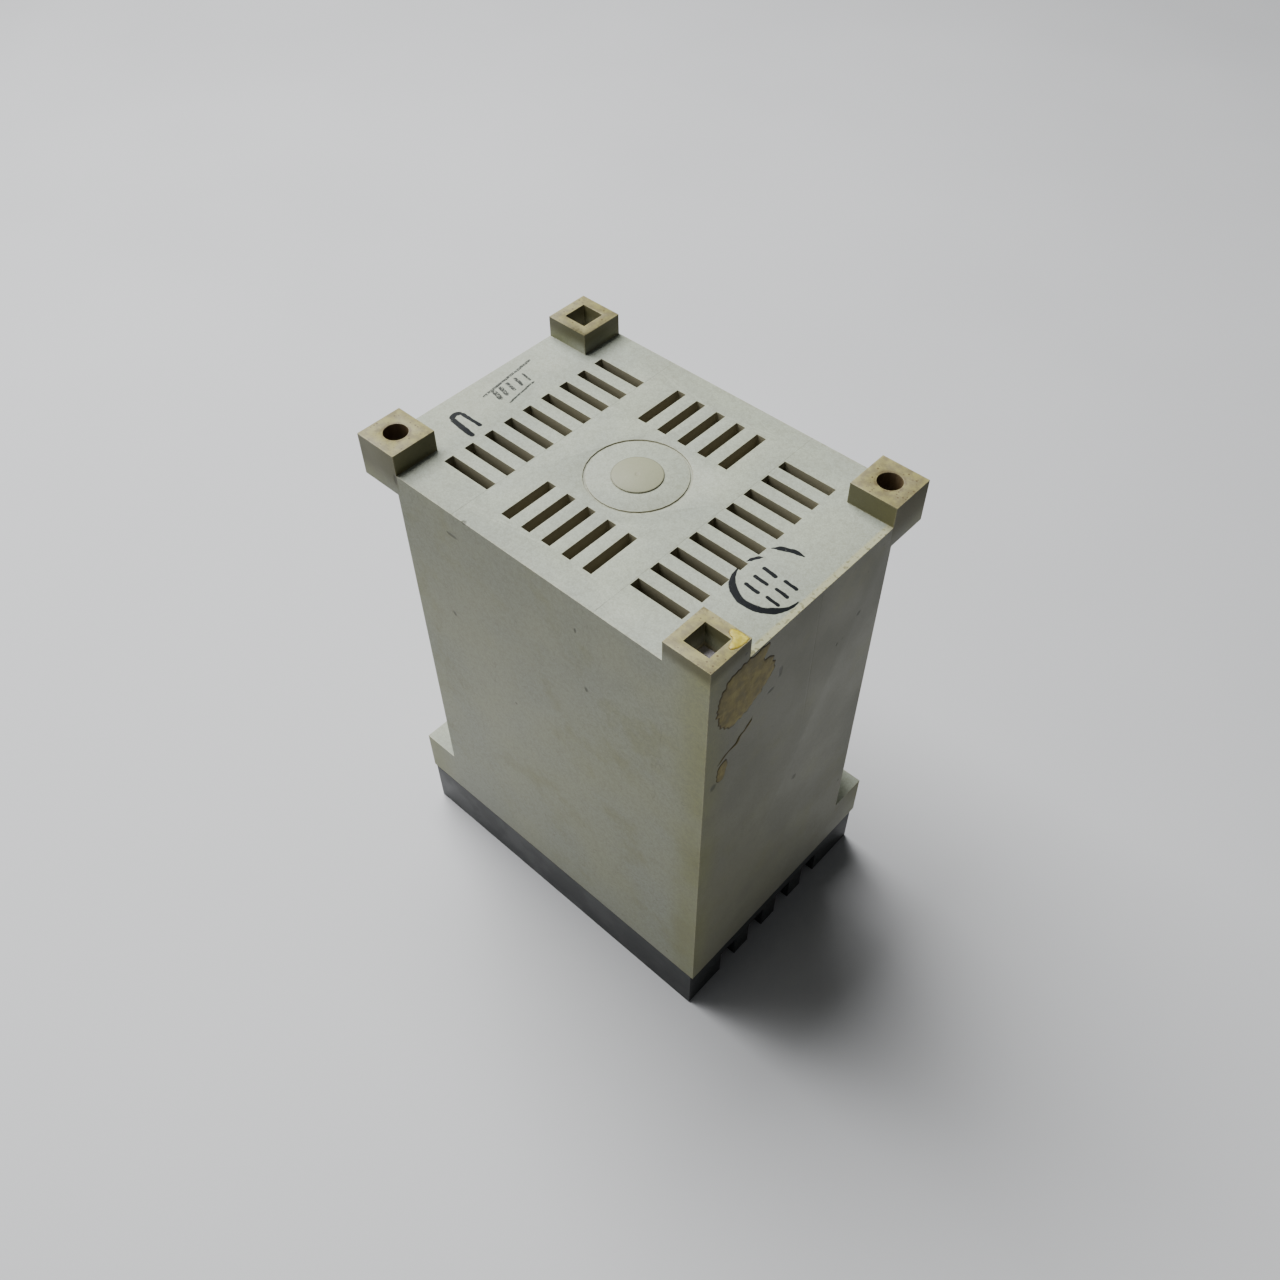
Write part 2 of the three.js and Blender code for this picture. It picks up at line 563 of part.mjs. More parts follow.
addTo(group, 'main_board', mainBoard(), 'board');
addTo(group, 'power_board', box(
  [-POWER_BOARD_LENGTH / 2, POWER_BACK_Y, BOARD_TOP_Z + TINY],
  [POWER_BOARD_LENGTH / 2, POWER_FACE_Y, POWER_BOARD_TOP_Z]), 'board');
addTo(group, 'board_link', box(
  [-LINK_LENGTH / 2, POWER_FACE_Y + TINY, BOARD_TOP_Z + TINY],
  [LINK_LENGTH / 2, POWER_FACE_Y + TINY + LINK_SIDE, BOARD_TOP_Z + TINY + LINK_SIDE]), 'block');

// ---------------------------------------------------------------------------------------------
// Heat sink under the ventilated back wall, on two posts
// ---------------------------------------------------------------------------------------------
function heatSink() {
  const outline = [[-SINK_HALF_Y, SINK_Z], [SINK_HALF_Y, SINK_Z], [SINK_HALF_Y, SINK_TOP_Z]];
  for (let i = SINK_FINS - 1; i >= 0; i -= 1) {
    const y = centred(i, SINK_FINS, FIN_PITCH);
    outline.push([y + FIN_THICK / 2, SINK_TOP_Z], [y + FIN_THICK / 2, SINK_TOP_Z + FIN_HEIGHT],
      [y - FIN_THICK / 2, SINK_TOP_Z + FIN_HEIGHT], [y - FIN_THICK / 2, SINK_TOP_Z]);
  }
  outline.push([-SINK_HALF_Y, SINK_TOP_Z]);
  const shape = new THREE.Shape(outline.map(([y, z]) => new THREE.Vector2(y, z)));
  const g = new THREE.ExtrudeGeometry(shape, { depth: SINK_LENGTH, bevelEnabled: false });
  g.applyMatrix4(new THREE.Matrix4().set(
    0, 0, 1, -SINK_LENGTH / 2,
    1, 0, 0, 0,
    0, 1, 0, 0,
    0, 0, 0, 1));
  const holes = HALF_TURN.flatMap((s) => [
    rod(M3_THREAD / 2 + CLEARANCE_FIT, SINK_Z - 1, SINK_TOP_Z + 1, s * POST_X, s * POST_Y),
    rod(M3_THREAD / 2 + THREAD_FIT, SINK_Z - 1, SINK_TOP_Z + 1, s * TRIAC_X, TAB_Y0 + TAB_HOLE_Y),
  ]);
  return cut(solid(g), ...holes);
}

const TAB_Y0 = POWER_FACE_Y + TRIAC_STANDOFF;

addTo(group, 'heat_sink', heatSink(), 'aluminium');

HALF_TURN.forEach((s, i) => {
  // Hexagon post: stud through the main board into the cover's pillar, tapped at the far end
  const r = POST_FLATS / Math.sqrt(3);
  const post = cut(
    join(rod(r, BOARD_TOP_Z + TINY, SINK_Z - TINY, s * POST_X, s * POST_Y, 6),
      rod(POST_STUD / 2, BOARD_TOP_Z - POST_STUD_LENGTH, BOARD_TOP_Z + 1, s * POST_X, s * POST_Y)),
    rod(M3_THREAD / 2 + THREAD_FIT, SINK_Z - 8, SINK_Z + 1, s * POST_X, s * POST_Y));
  addTo(group, `sink_post_${i + 1}`, post, 'brass');

  // Screw down through the base plate into the post
  const head = SINK_TOP_Z + TINY;
  addTo(group, `sink_screw_${i + 1}`, join(
    cut(rod(M3_HEAD / 2, head, head + M3_HEAD_HEIGHT, s * POST_X, s * POST_Y),
      box([s * POST_X - M3_HEAD, s * POST_Y - 0.4, head + M3_HEAD_HEIGHT / 2],
        [s * POST_X + M3_HEAD, s * POST_Y + 0.4, head + M3_HEAD_HEIGHT + 1])),
    rod(M3_THREAD / 2, SINK_Z - 6, head + M3_HEAD_HEIGHT / 3, s * POST_X, s * POST_Y)), 'zinc');
});

// ---------------------------------------------------------------------------------------------
// Triacs, screwed under the heat sink with their leads bent down to the upright board
// ---------------------------------------------------------------------------------------------
each(2, (i) => {
  const x = (i ? 1 : -1) * TRIAC_X;
  const zt = SINK_Z - TINY;
  const zb = zt - TAB_THICK;
  const hole = TAB_Y0 + TAB_HOLE_Y;
  let frame = box([x - TRIAC_WIDTH / 2, TAB_Y0, zb], [x + TRIAC_WIDTH / 2, TAB_Y0 + TAB_LENGTH, zt]);
  frame = cut(frame, rod(M3_THREAD / 2 + CLEARANCE_FIT, zb - 1, zt + 1, x, hole));
  each(3, (k) => {
    const lx = x + centred(k, 3, LEAD_PITCH);
    const y0 = POWER_FACE_Y + TINY;
    const yb = y0 + TRIAC_STANDOFF * 0.4;
    const bar = (ya, za, yc, zc) => box([lx - LEAD_WIDE / 2, ya, za], [lx + LEAD_WIDE / 2, yc, zc]);
    frame = join(frame,
      bar(yb, zb, TAB_Y0 + 1, zb + LEAD_THICK),
      bar(yb, zb - LEAD_DROP, yb + LEAD_THICK, zb + LEAD_THICK),
      bar(y0, zb - LEAD_DROP, yb + LEAD_THICK, zb - LEAD_DROP + LEAD_THICK));
  });
  addTo(group, `triac_frame_${i + 1}`, frame, 'tinned');
  addTo(group, `triac_${i + 1}`, box(
    [x - TRIAC_WIDTH / 2, TAB_Y0, zb - TINY - TRIAC_BODY_THICK],
    [x + TRIAC_WIDTH / 2, TAB_Y0 + TRIAC_BODY, zb - TINY]), 'epoxy');
  addTo(group, `triac_screw_${i + 1}`, slottedScrew(x, hole, zb - TINY - M3_HEAD_HEIGHT,
    M3_HEAD_HEIGHT, M3_HEAD, M3_THREAD, TAB_THICK + SINK_BASE), 'zinc');
});

// ---------------------------------------------------------------------------------------------
// Parts on the boards
// ---------------------------------------------------------------------------------------------
const FACE = POWER_FACE_Y + TINY * 2;
const VARISTOR_Z = BOARD_TOP_Z + LINK_SIDE + 1 + VARISTOR_DIAMETER / 2;
const RESISTOR_Z = VARISTOR_Z + VARISTOR_DIAMETER / 2 + 1.5 + RESISTOR_DIAMETER / 2;
const FILM_Z = RESISTOR_Z + RESISTOR_DIAMETER / 2 + 1.5;

// Round part whose axis lies along X or Y
function lying(radius, length, axis, x, y, z, facets = 20) {
  const g = new THREE.CylinderGeometry(radius, radius, length, facets);
  if (axis === 'x') g.rotateZ(Math.PI / 2);
  g.translate(x, y, z);
  return solid(g);
}

each(2, (i) => {
  const s = i ? 1 : -1;
  addTo(group, `varistor_${i + 1}`, lying(VARISTOR_DIAMETER / 2, VARISTOR_THICK, 'y',
    s * PART_X, FACE + VARISTOR_THICK / 2, VARISTOR_Z), 'ceramic');
  addTo(group, `snubber_resistor_${i + 1}`, lying(RESISTOR_DIAMETER / 2, RESISTOR_LENGTH, 'x',
    s * PART_X, FACE + RESISTOR_DIAMETER / 2, RESISTOR_Z, SMALL), 'resistor');
  addTo(group, `snubber_capacitor_${i + 1}`, box(
    [s * PART_X - FILM_CAP[0] / 2, FACE, FILM_Z],
    [s * PART_X + FILM_CAP[0] / 2, FACE + FILM_CAP[1], FILM_Z + FILM_CAP[2]]), 'film');
  addTo(group, `optocoupler_${i + 1}`, box(
    [s * OPTO_X - OPTO[0] / 2, POWER_BACK_Y - TINY - OPTO[1], FILM_Z],
    [s * OPTO_X + OPTO[0] / 2, POWER_BACK_Y - TINY, FILM_Z + OPTO[2]]), 'epoxy');
});

addTo(group, 'storage_capacitor', rod(STORAGE_CAP_DIAMETER / 2, BOARD_TOP_Z + TINY,
  BOARD_TOP_Z + TINY + STORAGE_CAP_HEIGHT, 0, STORAGE_CAP_Y, 24), 'sleeve');

// Indicators: a lens in the front face on two long legs from the main board
each(2, (i) => {
  const x = (i ? 1 : -1) * LED_X;
  const r = LED_DIAMETER / 2;
  const lens = turned([[0, LED_SETBACK], [r * 0.6, LED_SETBACK + r * 0.25],
    [r, LED_SETBACK + r], [r, LED_SETBACK + 5], [r * 1.25, LED_SETBACK + 5],
    [r * 1.25, LED_SETBACK + 6], [0, LED_SETBACK + 6]], x, 0);
  const leg = (dx) => box([x + dx - 0.25, -0.25, LED_SETBACK + 5.5],
    [x + dx + 0.25, 0.25, BOARD_Z - TINY]);
  addTo(group, `indicator_${i + 1}`, join(lens, leg(-0.9), leg(0.9)), 'red_lens');
});

export default group;
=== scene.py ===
# %% [markdown]
# # A solid state relay module, finished in Blender
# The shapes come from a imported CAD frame: a deep pale case, a dark front cover, two rows of screw
# terminals, and behind them two boards, a heat sink and their parts. This lesson gives each of
# them a finish worked out from nodes, rounds the moulded and stamped pieces, adds the glue and
# paper left on one corner, and sets up the light and the camera.

# %% Load the frame
import json
import math

import bmesh
import bpy
import numpy as np
from mathutils import Matrix, Vector


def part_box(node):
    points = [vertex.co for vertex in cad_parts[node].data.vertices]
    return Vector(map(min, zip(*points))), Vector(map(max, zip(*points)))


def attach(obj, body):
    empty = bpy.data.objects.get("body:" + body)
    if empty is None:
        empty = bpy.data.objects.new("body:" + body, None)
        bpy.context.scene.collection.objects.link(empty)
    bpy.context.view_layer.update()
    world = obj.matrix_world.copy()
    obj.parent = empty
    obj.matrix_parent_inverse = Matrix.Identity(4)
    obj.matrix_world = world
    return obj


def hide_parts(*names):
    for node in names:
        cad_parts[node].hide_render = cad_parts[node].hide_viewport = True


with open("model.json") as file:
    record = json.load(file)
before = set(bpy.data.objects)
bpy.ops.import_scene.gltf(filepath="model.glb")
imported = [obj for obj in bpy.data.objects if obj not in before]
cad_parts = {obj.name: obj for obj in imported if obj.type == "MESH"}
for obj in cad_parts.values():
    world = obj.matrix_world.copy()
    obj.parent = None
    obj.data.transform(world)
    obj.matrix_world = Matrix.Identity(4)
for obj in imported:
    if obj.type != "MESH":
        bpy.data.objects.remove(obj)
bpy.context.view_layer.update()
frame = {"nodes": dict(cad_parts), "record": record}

MM = 0.001

# %% [markdown]
# Every length that the finishes need is read from the frame, so a pattern stays on its piece. The
# case's box gives the back wall and the tops of the lugs.

# %% Key planes of the case
case_low, case_high = (np.array(v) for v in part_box("rear_case"))
cover_low, cover_high = (np.array(v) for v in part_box("front_cover"))
LUG_HEIGHT, LUG_SIDE = 4.3 * MM, 9.4 * MM
BACK_WALL, BORE_RADIUS = 3.2 * MM, 2.25 * MM
LUG_TOP_Z = float(case_high[2])
BACK_Z = LUG_TOP_Z - LUG_HEIGHT
JOINT_Z = float(case_low[2])
COVER_HEIGHT = float(cover_high[2] - cover_low[2])
HALF_X, HALF_Y = float(case_high[0]), float(case_high[1])
LUG_X, LUG_Y = HALF_X - LUG_SIDE / 2, HALF_Y - LUG_SIDE / 2
LUG_ROOT, POCKET_DEPTH = 4.6 * MM, 5.3 * MM
print(f"back wall at {BACK_Z:.4f} m, lugs to {LUG_TOP_Z:.4f} m, joint line at {JOINT_Z:.4f} m, "
      f"cover {COVER_HEIGHT:.4f} m tall")

# %% [markdown]
# ## A short way to write nodes
# A material is a tree of nodes. Small helpers keep the recipes readable: one adds a node and plugs
# in what it is given, one does arithmetic, one turns a range of values into 0 to 1, two lay one
# colour over another by a mask, and one turns display colours into the ones that a shader wants.


# %% Node helpers
def add(tree, kind, props=None, **plugs):
    """Adds one shader node; each plug is a socket to link or a plain value to set."""
    node = tree.nodes.new("ShaderNode" + kind)
    for key, value in (props or {}).items():
        setattr(node, key, value)
    for key, value in plugs.items():
        name = key.replace("_", " ")
        socket = node.inputs[int(key[1:])] if key[1:].isdigit() else node.inputs[name]
        if isinstance(value, bpy.types.NodeSocket):
            tree.links.new(value, socket)
        else:
            socket.default_value = value
    return node


def calc(tree, operation, *values, clamp=False):
    """One arithmetic node on up to three values."""
    plugs = {f"i{i}": v for i, v in enumerate(values)}
    props = {"operation": operation, "use_clamp": clamp}
    return add(tree, "Math", props, **plugs).outputs[0]


def ramp(tree, value, low, high, out_low=0.0, out_high=1.0):
    """Smoothly maps low..high to out_low..out_high, and holds outside."""
    props = {"interpolation_type": "SMOOTHSTEP"}
    return add(tree, "MapRange", props, Value=value, From_Min=low, From_Max=high,
               To_Min=out_low, To_Max=out_high).outputs[0]


def blend(tree, mask, under, over):
    """Colour under where mask is 0, colour over where it is 1."""
    node = add(tree, "Mix", {"data_type": "RGBA", "blend_type": "MIX"})
    for socket, value in ((node.inputs[0], mask), (node.inputs[6], under), (node.inputs[7], over)):
        if isinstance(value, bpy.types.NodeSocket):
            tree.links.new(value, socket)
        else:
            socket.default_value = value
    return node.outputs[2]


def tinge(tree, tone, mask, share, over):
    """Lays colour over on the tone where mask is 1, at most to the given share."""
    return blend(tree, calc(tree, "MULTIPLY", mask, share), tone, over)


def colour(r, g, b):
    """A display colour, 0 to 255, as the linear colour that a shader wants."""
    v = np.array([r, g, b]) / 255.0
    lin = np.where(v <= 0.04045, v / 12.92, ((v + 0.055) / 1.055) ** 2.4)
    return (*map(float, lin), 1.0)


print("helpers: add, calc, ramp, blend, tinge, colour")

# %% [markdown]
# ## Effects that several finishes share
# Grain, worn edges, specks and scratches turn up on nearly every piece, so each one is a node
# group, built once. A group here gives out only masks and heights; the shader itself stays in the
# material that uses the group.


# %% A maker for node groups
def effect(name, inputs, outputs):
    """Makes an empty shader node group with named sockets, and returns it with both its ends."""
    tree = bpy.data.node_groups.new(name, "ShaderNodeTree")
    for label, kind, value in inputs:
        socket = tree.interface.new_socket(label, in_out="INPUT", socket_type=kind)
        if value is not None:
            socket.default_value = value
    for label in outputs:
        tree.interface.new_socket(label, in_out="OUTPUT", socket_type="NodeSocketFloat")
    return tree, tree.nodes.new("NodeGroupInput").outputs, tree.nodes.new("NodeGroupOutput").inputs


def use(tree, group, **plugs):
    """Places a group in a material and returns its outputs."""
    node = tree.nodes.new("ShaderNodeGroup")
    node.node_tree = group
    for key, value in plugs.items():
        socket = node.inputs[key.replace("_", " ")]
        if isinstance(value, bpy.types.NodeSocket):
            tree.links.new(value, socket)
        else:
            socket.default_value = value
    return node.outputs


FLOAT, VECTOR = "NodeSocketFloat", "NodeSocketVector"

# %% [markdown]
# A spark-eroded mould leaves a fine, even grain. Fine noise gives its height, and a slow, wide
# noise gives the cloudy tone that moulded plastic gets as it ages.

# %% Mould grain
GRAIN, source, sink = effect("mould grain", [
    ("Place", VECTOR, None), ("Grain size", FLOAT, 0.25 * MM), ("Cloud size", FLOAT, 14 * MM),
], ["Height", "Cloud"])
fine_scale = calc(GRAIN, "DIVIDE", 1.0, source["Grain size"])
fine = add(GRAIN, "TexNoise", None, Vector=source["Place"], Scale=fine_scale, Detail=3.0,
           Roughness=0.6)
cloud_scale = calc(GRAIN, "DIVIDE", 1.0, source["Cloud size"])
cloudy = add(GRAIN, "TexNoise", None, Vector=source["Place"], Scale=cloud_scale, Detail=4.0,
             Roughness=0.55)
GRAIN.links.new(fine.outputs[0], sink["Height"])
GRAIN.links.new(ramp(GRAIN, cloudy.outputs[0], 0.3, 0.7), sink["Cloud"])
print("group:", GRAIN.name)

# %% [markdown]
# Edges rub pale or dark first. The Bevel node gives the normal that the surface would have if its
# edges were rounded; where that leaves the true normal, there is an edge. Noise breaks the mask
# up, because a real edge wears in patches.

# %% Worn edges
WEAR, source, sink = effect("worn edge", [
    ("Place", VECTOR, None), ("Width", FLOAT, 0.5 * MM), ("Patch size", FLOAT, 2.5 * MM),
    ("Amount", FLOAT, 0.5),
], ["Mask", "Edge"])
rounded = add(WEAR, "Bevel", {"samples": 4}, Radius=source["Width"])
flat = add(WEAR, "NewGeometry")
turn = add(WEAR, "VectorMath", {"operation": "DOT_PRODUCT"}, i0=rounded.outputs[0],
           i1=flat.outputs["True Normal"])
edge = ramp(WEAR, turn.outputs["Value"], 0.995, 0.80)
patches = add(WEAR, "TexNoise", None, Vector=source["Place"],
              Scale=calc(WEAR, "DIVIDE", 1.0, source["Patch size"]), Detail=5.0, Roughness=0.65)
lift = calc(WEAR, "SUBTRACT", calc(WEAR, "ADD", patches.outputs[0], source["Amount"]), 0.75)
broken = calc(WEAR, "MULTIPLY", edge, ramp(WEAR, lift, 0.0, 0.25))
WEAR.links.new(broken, sink["Mask"])
WEAR.links.new(edge, sink["Edge"])
print("group:", WEAR.name)

# %% [markdown]
# Specks of dirt and tiny pits sit at random, a few to the square centimetre. Cells of a Voronoi
# texture place them, and each cell's random colour decides whether it has one and how big.

# %% Specks
SPECKS, source, sink = effect("specks", [
    ("Place", VECTOR, None), ("Spacing", FLOAT, 3 * MM), ("Share", FLOAT, 0.3),
    ("Size", FLOAT, 0.16),
], ["Mask"])
cells = add(SPECKS, "TexVoronoi", None, Vector=source["Place"],
            Scale=calc(SPECKS, "DIVIDE", 1.0, source["Spacing"]))
luck = add(SPECKS, "SeparateColor", None, Color=cells.outputs["Color"])
chosen = calc(SPECKS, "LESS_THAN", luck.outputs[0], source["Share"])
reach = calc(SPECKS, "MULTIPLY", source["Size"], calc(SPECKS, "ADD", luck.outputs[1], 0.25))
inside = ramp(SPECKS, calc(SPECKS, "SUBTRACT", cells.outputs["Distance"], reach), 0.04, -0.04)
SPECKS.links.new(calc(SPECKS, "MULTIPLY", chosen, inside), sink["Mask"])
print("group:", SPECKS.name)

# %% [markdown]
# A scratch is long and thin. Noise that is stretched along one direction gives streaks, and only
# its narrow middle band is kept.

# %% Scratches
SCRATCH, source, sink = effect("scratches", [
    ("Place", VECTOR, None), ("Stretch", VECTOR, (40.0, 900.0, 900.0)), ("Share", FLOAT, 0.02),
], ["Mask"])
streaks = add(SCRATCH, "VectorMath", {"operation": "MULTIPLY"}, i0=source["Place"],
              i1=source["Stretch"])
drawn = add(SCRATCH, "TexNoise", None, Vector=streaks.outputs[0], Scale=1.0, Detail=2.0)
off_middle = calc(SCRATCH, "ABSOLUTE", calc(SCRATCH, "SUBTRACT", drawn.outputs[0], 0.62))
line = calc(SCRATCH, "LESS_THAN", off_middle, source["Share"])
SCRATCH.links.new(line, sink["Mask"])
print("group:", SCRATCH.name)

# %% [markdown]
# Ink is put on with a pen or a rubber stamp. A straight pen stroke is every point closer to a line
# segment than half the pen's width. An arc is every point about one radius from a centre, between
# two angles. Both wobble a little and let the grain show through where the ink is thin.

# %% Pen strokes and stamped arcs
STROKE, source, sink = effect("pen stroke", [
    ("Place", VECTOR, None), ("From", VECTOR, (0, 0, 0)), ("Along", VECTOR, (1, 0, 0)),
    ("Width", FLOAT, 0.5 * MM),
], ["Mask"])
start = add(STROKE, "VectorMath", {"operation": "SUBTRACT"}, i0=source["Place"],
            i1=source["From"])
dot = add(STROKE, "VectorMath", {"operation": "DOT_PRODUCT"}, i0=start.outputs[0],
          i1=source["Along"])
span = add(STROKE, "VectorMath", {"operation": "DOT_PRODUCT"}, i0=source["Along"],
           i1=source["Along"])
share = calc(STROKE, "DIVIDE", dot.outputs["Value"], span.outputs["Value"], clamp=True)
foot = add(STROKE, "VectorMath", {"operation": "SCALE"}, i0=source["Along"], Scale=share)
gap = add(STROKE, "VectorMath", {"operation": "DISTANCE"}, i0=start.outputs[0],
          i1=foot.outputs[0])
ratio = calc(STROKE, "DIVIDE", gap.outputs["Value"], source["Width"])
STROKE.links.new(ramp(STROKE, ratio, 0.56, 0.42), sink["Mask"])

ARC, source, sink = effect("stamped arc", [
    ("Place", VECTOR, None), ("Centre", VECTOR, (0, 0, 0)), ("Radius", FLOAT, 5 * MM),
    ("Width", FLOAT, 0.6 * MM), ("Middle", VECTOR, (1, 0, 0)), ("Half angle", FLOAT, 1.0),
], ["Mask"])
spoke = add(ARC, "VectorMath", {"operation": "SUBTRACT"}, i0=source["Place"],
            i1=source["Centre"])
length = add(ARC, "VectorMath", {"operation": "LENGTH"}, i0=spoke.outputs[0])
unit = add(ARC, "VectorMath", {"operation": "NORMALIZE"}, i0=spoke.outputs[0])
aim = add(ARC, "VectorMath", {"operation": "DOT_PRODUCT"}, i0=unit.outputs[0],
          i1=source["Middle"])
angle = calc(ARC, "ARCCOSINE", calc(ARC, "MINIMUM", aim.outputs["Value"], 0.9999))
open_share = calc(ARC, "DIVIDE", angle, source["Half angle"])
taper = ramp(ARC, open_share, 1.0, 0.45, 0.25, 1.0)
width_here = calc(ARC, "MULTIPLY", source["Width"], taper)
off_ring = calc(ARC, "ABSOLUTE", calc(ARC, "SUBTRACT", length.outputs["Value"],
                                      source["Radius"]))
ring = ramp(ARC, calc(ARC, "DIVIDE", off_ring, width_here), 0.56, 0.42)
within = ramp(ARC, open_share, 1.03, 0.97)
ARC.links.new(calc(ARC, "MULTIPLY", ring, within), sink["Mask"])
print("groups:", STROKE.name, "and", ARC.name)

# %% [markdown]
# A stain or a faded area is a soft spot: 1 in its middle, 0 past its reach, with a ragged rim that
# comes from adding noise to the distance.

# %% Stains
STAIN, source, sink = effect("stain", [
    ("Place", VECTOR, None), ("Centre", VECTOR, (0, 0, 0)),
    ("Reach", VECTOR, (5 * MM, 5 * MM, 5 * MM)), ("Ragged", FLOAT, 0.4),
], ["Mask"])
from_middle = add(STAIN, "VectorMath", {"operation": "SUBTRACT"}, i0=source["Place"],
                  i1=source["Centre"])
scaled = add(STAIN, "VectorMath", {"operation": "DIVIDE"}, i0=from_middle.outputs[0],
             i1=source["Reach"])
away = add(STAIN, "VectorMath", {"operation": "LENGTH"}, i0=scaled.outputs[0])
rim = add(STAIN, "TexNoise", None, Vector=source["Place"], Scale=420.0, Detail=5.0,
          Roughness=0.6)
pushed = calc(STAIN, "MULTIPLY_ADD", calc(STAIN, "SUBTRACT", rim.outputs[0], 0.5),
              source["Ragged"], away.outputs["Value"])
STAIN.links.new(ramp(STAIN, pushed, 1.0, 0.35), sink["Mask"])
print("group:", STAIN.name)

# %% [markdown]
# ## Finishes
# Each finish starts the same way: a Principled shader, the piece's own Object coordinates, and a
# bump chain for the relief. What is the same all over is set on the shader's own sockets.


# %% A starting point for a finish
def finish(name, **plain):
    """A new material: returns it, its tree, its shader and the Object coordinates."""
    material = bpy.data.materials.new(name)
    material.use_nodes = True
    tree = material.node_tree
    shader = tree.nodes["Principled BSDF"]
    for key, value in plain.items():
        shader.inputs[key.replace("_", " ")].default_value = value
    place = add(tree, "TexCoord").outputs["Object"]
    return material, tree, shader, place


def relief(tree, shader, *layers):
    """Chains bumps, each a height socket, its depth in metres and its strength, into Normal."""
    normal = None
    for height, depth, strength in layers:
        node = add(tree, "Bump", None, Height=height, Distance=depth, Strength=strength)
        if normal is not None:
            tree.links.new(normal, node.inputs["Normal"])
        normal = node.outputs[0]
    tree.links.new(normal, shader.inputs["Normal"])


def wire(tree, shader, **links):
    """Links sockets to the shader by name."""
    for key, value in links.items():
        tree.links.new(value, shader.inputs[key.replace("_", " ")])


FINISH = {}

# %% [markdown]
# ### The pale case
# A case like this is a light grey-cream moulding that yellows with age. Its back wall is clean and
# a little cooler, its long sides are yellowed towards the corners, and the tops of the lugs, which
# rub on the panel, are stained tan with dark specks. Painting it by hand would do, but a mask on
# the Object coordinates puts each band of colour by height and position, and stays editable.

# %% Case plastic: tone, yellowing and lug stains
material, tree, shader, place = finish("case plastic")
xyz = add(tree, "SeparateXYZ", None, Vector=place)
x, y, z = xyz.outputs
grain = use(tree, GRAIN, Place=place, Grain_size=0.30 * MM, Cloud_size=17 * MM)
facing = add(tree, "SeparateXYZ", None, Vector=add(tree, "NewGeometry").outputs["True Normal"])
up = ramp(tree, facing.outputs[2], 0.6, 0.9)

CREAM = colour(168, 175, 156)
CREAM_GREY = colour(160, 167, 154)
tone = blend(tree, grain["Cloud"], CREAM, CREAM_GREY)

# The long sides are more olive, and the ends greyer, than the back wall. Both are also painted
# darker than it,
# the ends most: painted shade on the upright walls.
sideways = ramp(tree, calc(tree, "ABSOLUTE", facing.outputs[1]), 0.5, 0.9)
endways = ramp(tree, calc(tree, "ABSOLUTE", facing.outputs[0]), 0.5, 0.9)
side_tone = blend(tree, grain["Cloud"], colour(157, 159, 133), colour(159, 162, 146))
end_tone = blend(tree, grain["Cloud"], colour(140, 139, 120), colour(131, 131, 117))
tone = blend(tree, sideways, tone, side_tone)
tone = blend(tree, endways, tone, end_tone)

# The upright walls are painted darker towards the top, the ends more than the long sides.
high_up = ramp(tree, z, 45 * MM, 106 * MM)
tone = blend(tree, calc(tree, "MULTIPLY", calc(tree, "MULTIPLY", high_up, endways), 0.42), tone,
             colour(98, 98, 82))
tone = blend(tree, calc(tree, "MULTIPLY", calc(tree, "MULTIPLY", high_up, sideways), 0.22), tone,
             colour(120, 122, 98))

# Yellowing creeps in from the vertical corners and lies in soft patches.
from_corner = calc(tree, "SUBTRACT", HALF_X, calc(tree, "ABSOLUTE", x))
corner_band = calc(tree, "MULTIPLY", ramp(tree, from_corner, 9 * MM, 1 * MM), sideways)
from_end = calc(tree, "SUBTRACT", HALF_Y, calc(tree, "ABSOLUTE", y))
end_band = calc(tree, "MULTIPLY", ramp(tree, from_end, 7 * MM, 0.5 * MM), endways)
corner_band = calc(tree, "MAXIMUM", corner_band, calc(tree, "MULTIPLY", end_band, 0.8))
waver = add(tree, "TexNoise", None, Vector=place, Scale=55.0, Detail=5.0, Roughness=0.6)
yellowed = calc(tree, "MULTIPLY", corner_band, ramp(tree, waver.outputs[0], 0.25, 0.7, 0.30, 0.85))
OLD_YELLOW = colour(143, 144, 94)
tone = blend(tree, yellowed, tone, OLD_YELLOW)
blotch = add(tree, "TexNoise", None, Vector=place, Scale=95.0, Detail=6.0, Roughness=0.62)
blotches = calc(tree, "MULTIPLY", ramp(tree, blotch.outputs[0], 0.50, 0.72, 0.0, 0.42), calc(
    tree, "MAXIMUM", sideways, calc(tree, "MULTIPLY", endways, 0.7)))
tone = blend(tree, blotches, tone, colour(136, 136, 94))

# Handling has left a faint grey film over the back wall.
film = add(tree, "TexNoise", None, Vector=place, Scale=38.0, Detail=8.0, Roughness=0.7)
tone = blend(tree, calc(tree, "MULTIPLY", ramp(tree, film.outputs[0], 0.45, 0.8, 0.0, 0.45), up),
             tone, colour(148, 149, 132))
mottle = ramp(tree, grain["Height"], 0.35, 0.65, 0.0, 0.30)
tone = blend(tree, mottle, tone, colour(118, 118, 102))
coarse = add(tree, "TexNoise", None, Vector=place, Scale=1100.0, Detail=2.0, Roughness=0.7)
tone = blend(tree, ramp(tree, coarse.outputs[0], 0.42, 0.66, 0.0, 0.20), tone, colour(112, 112, 94))
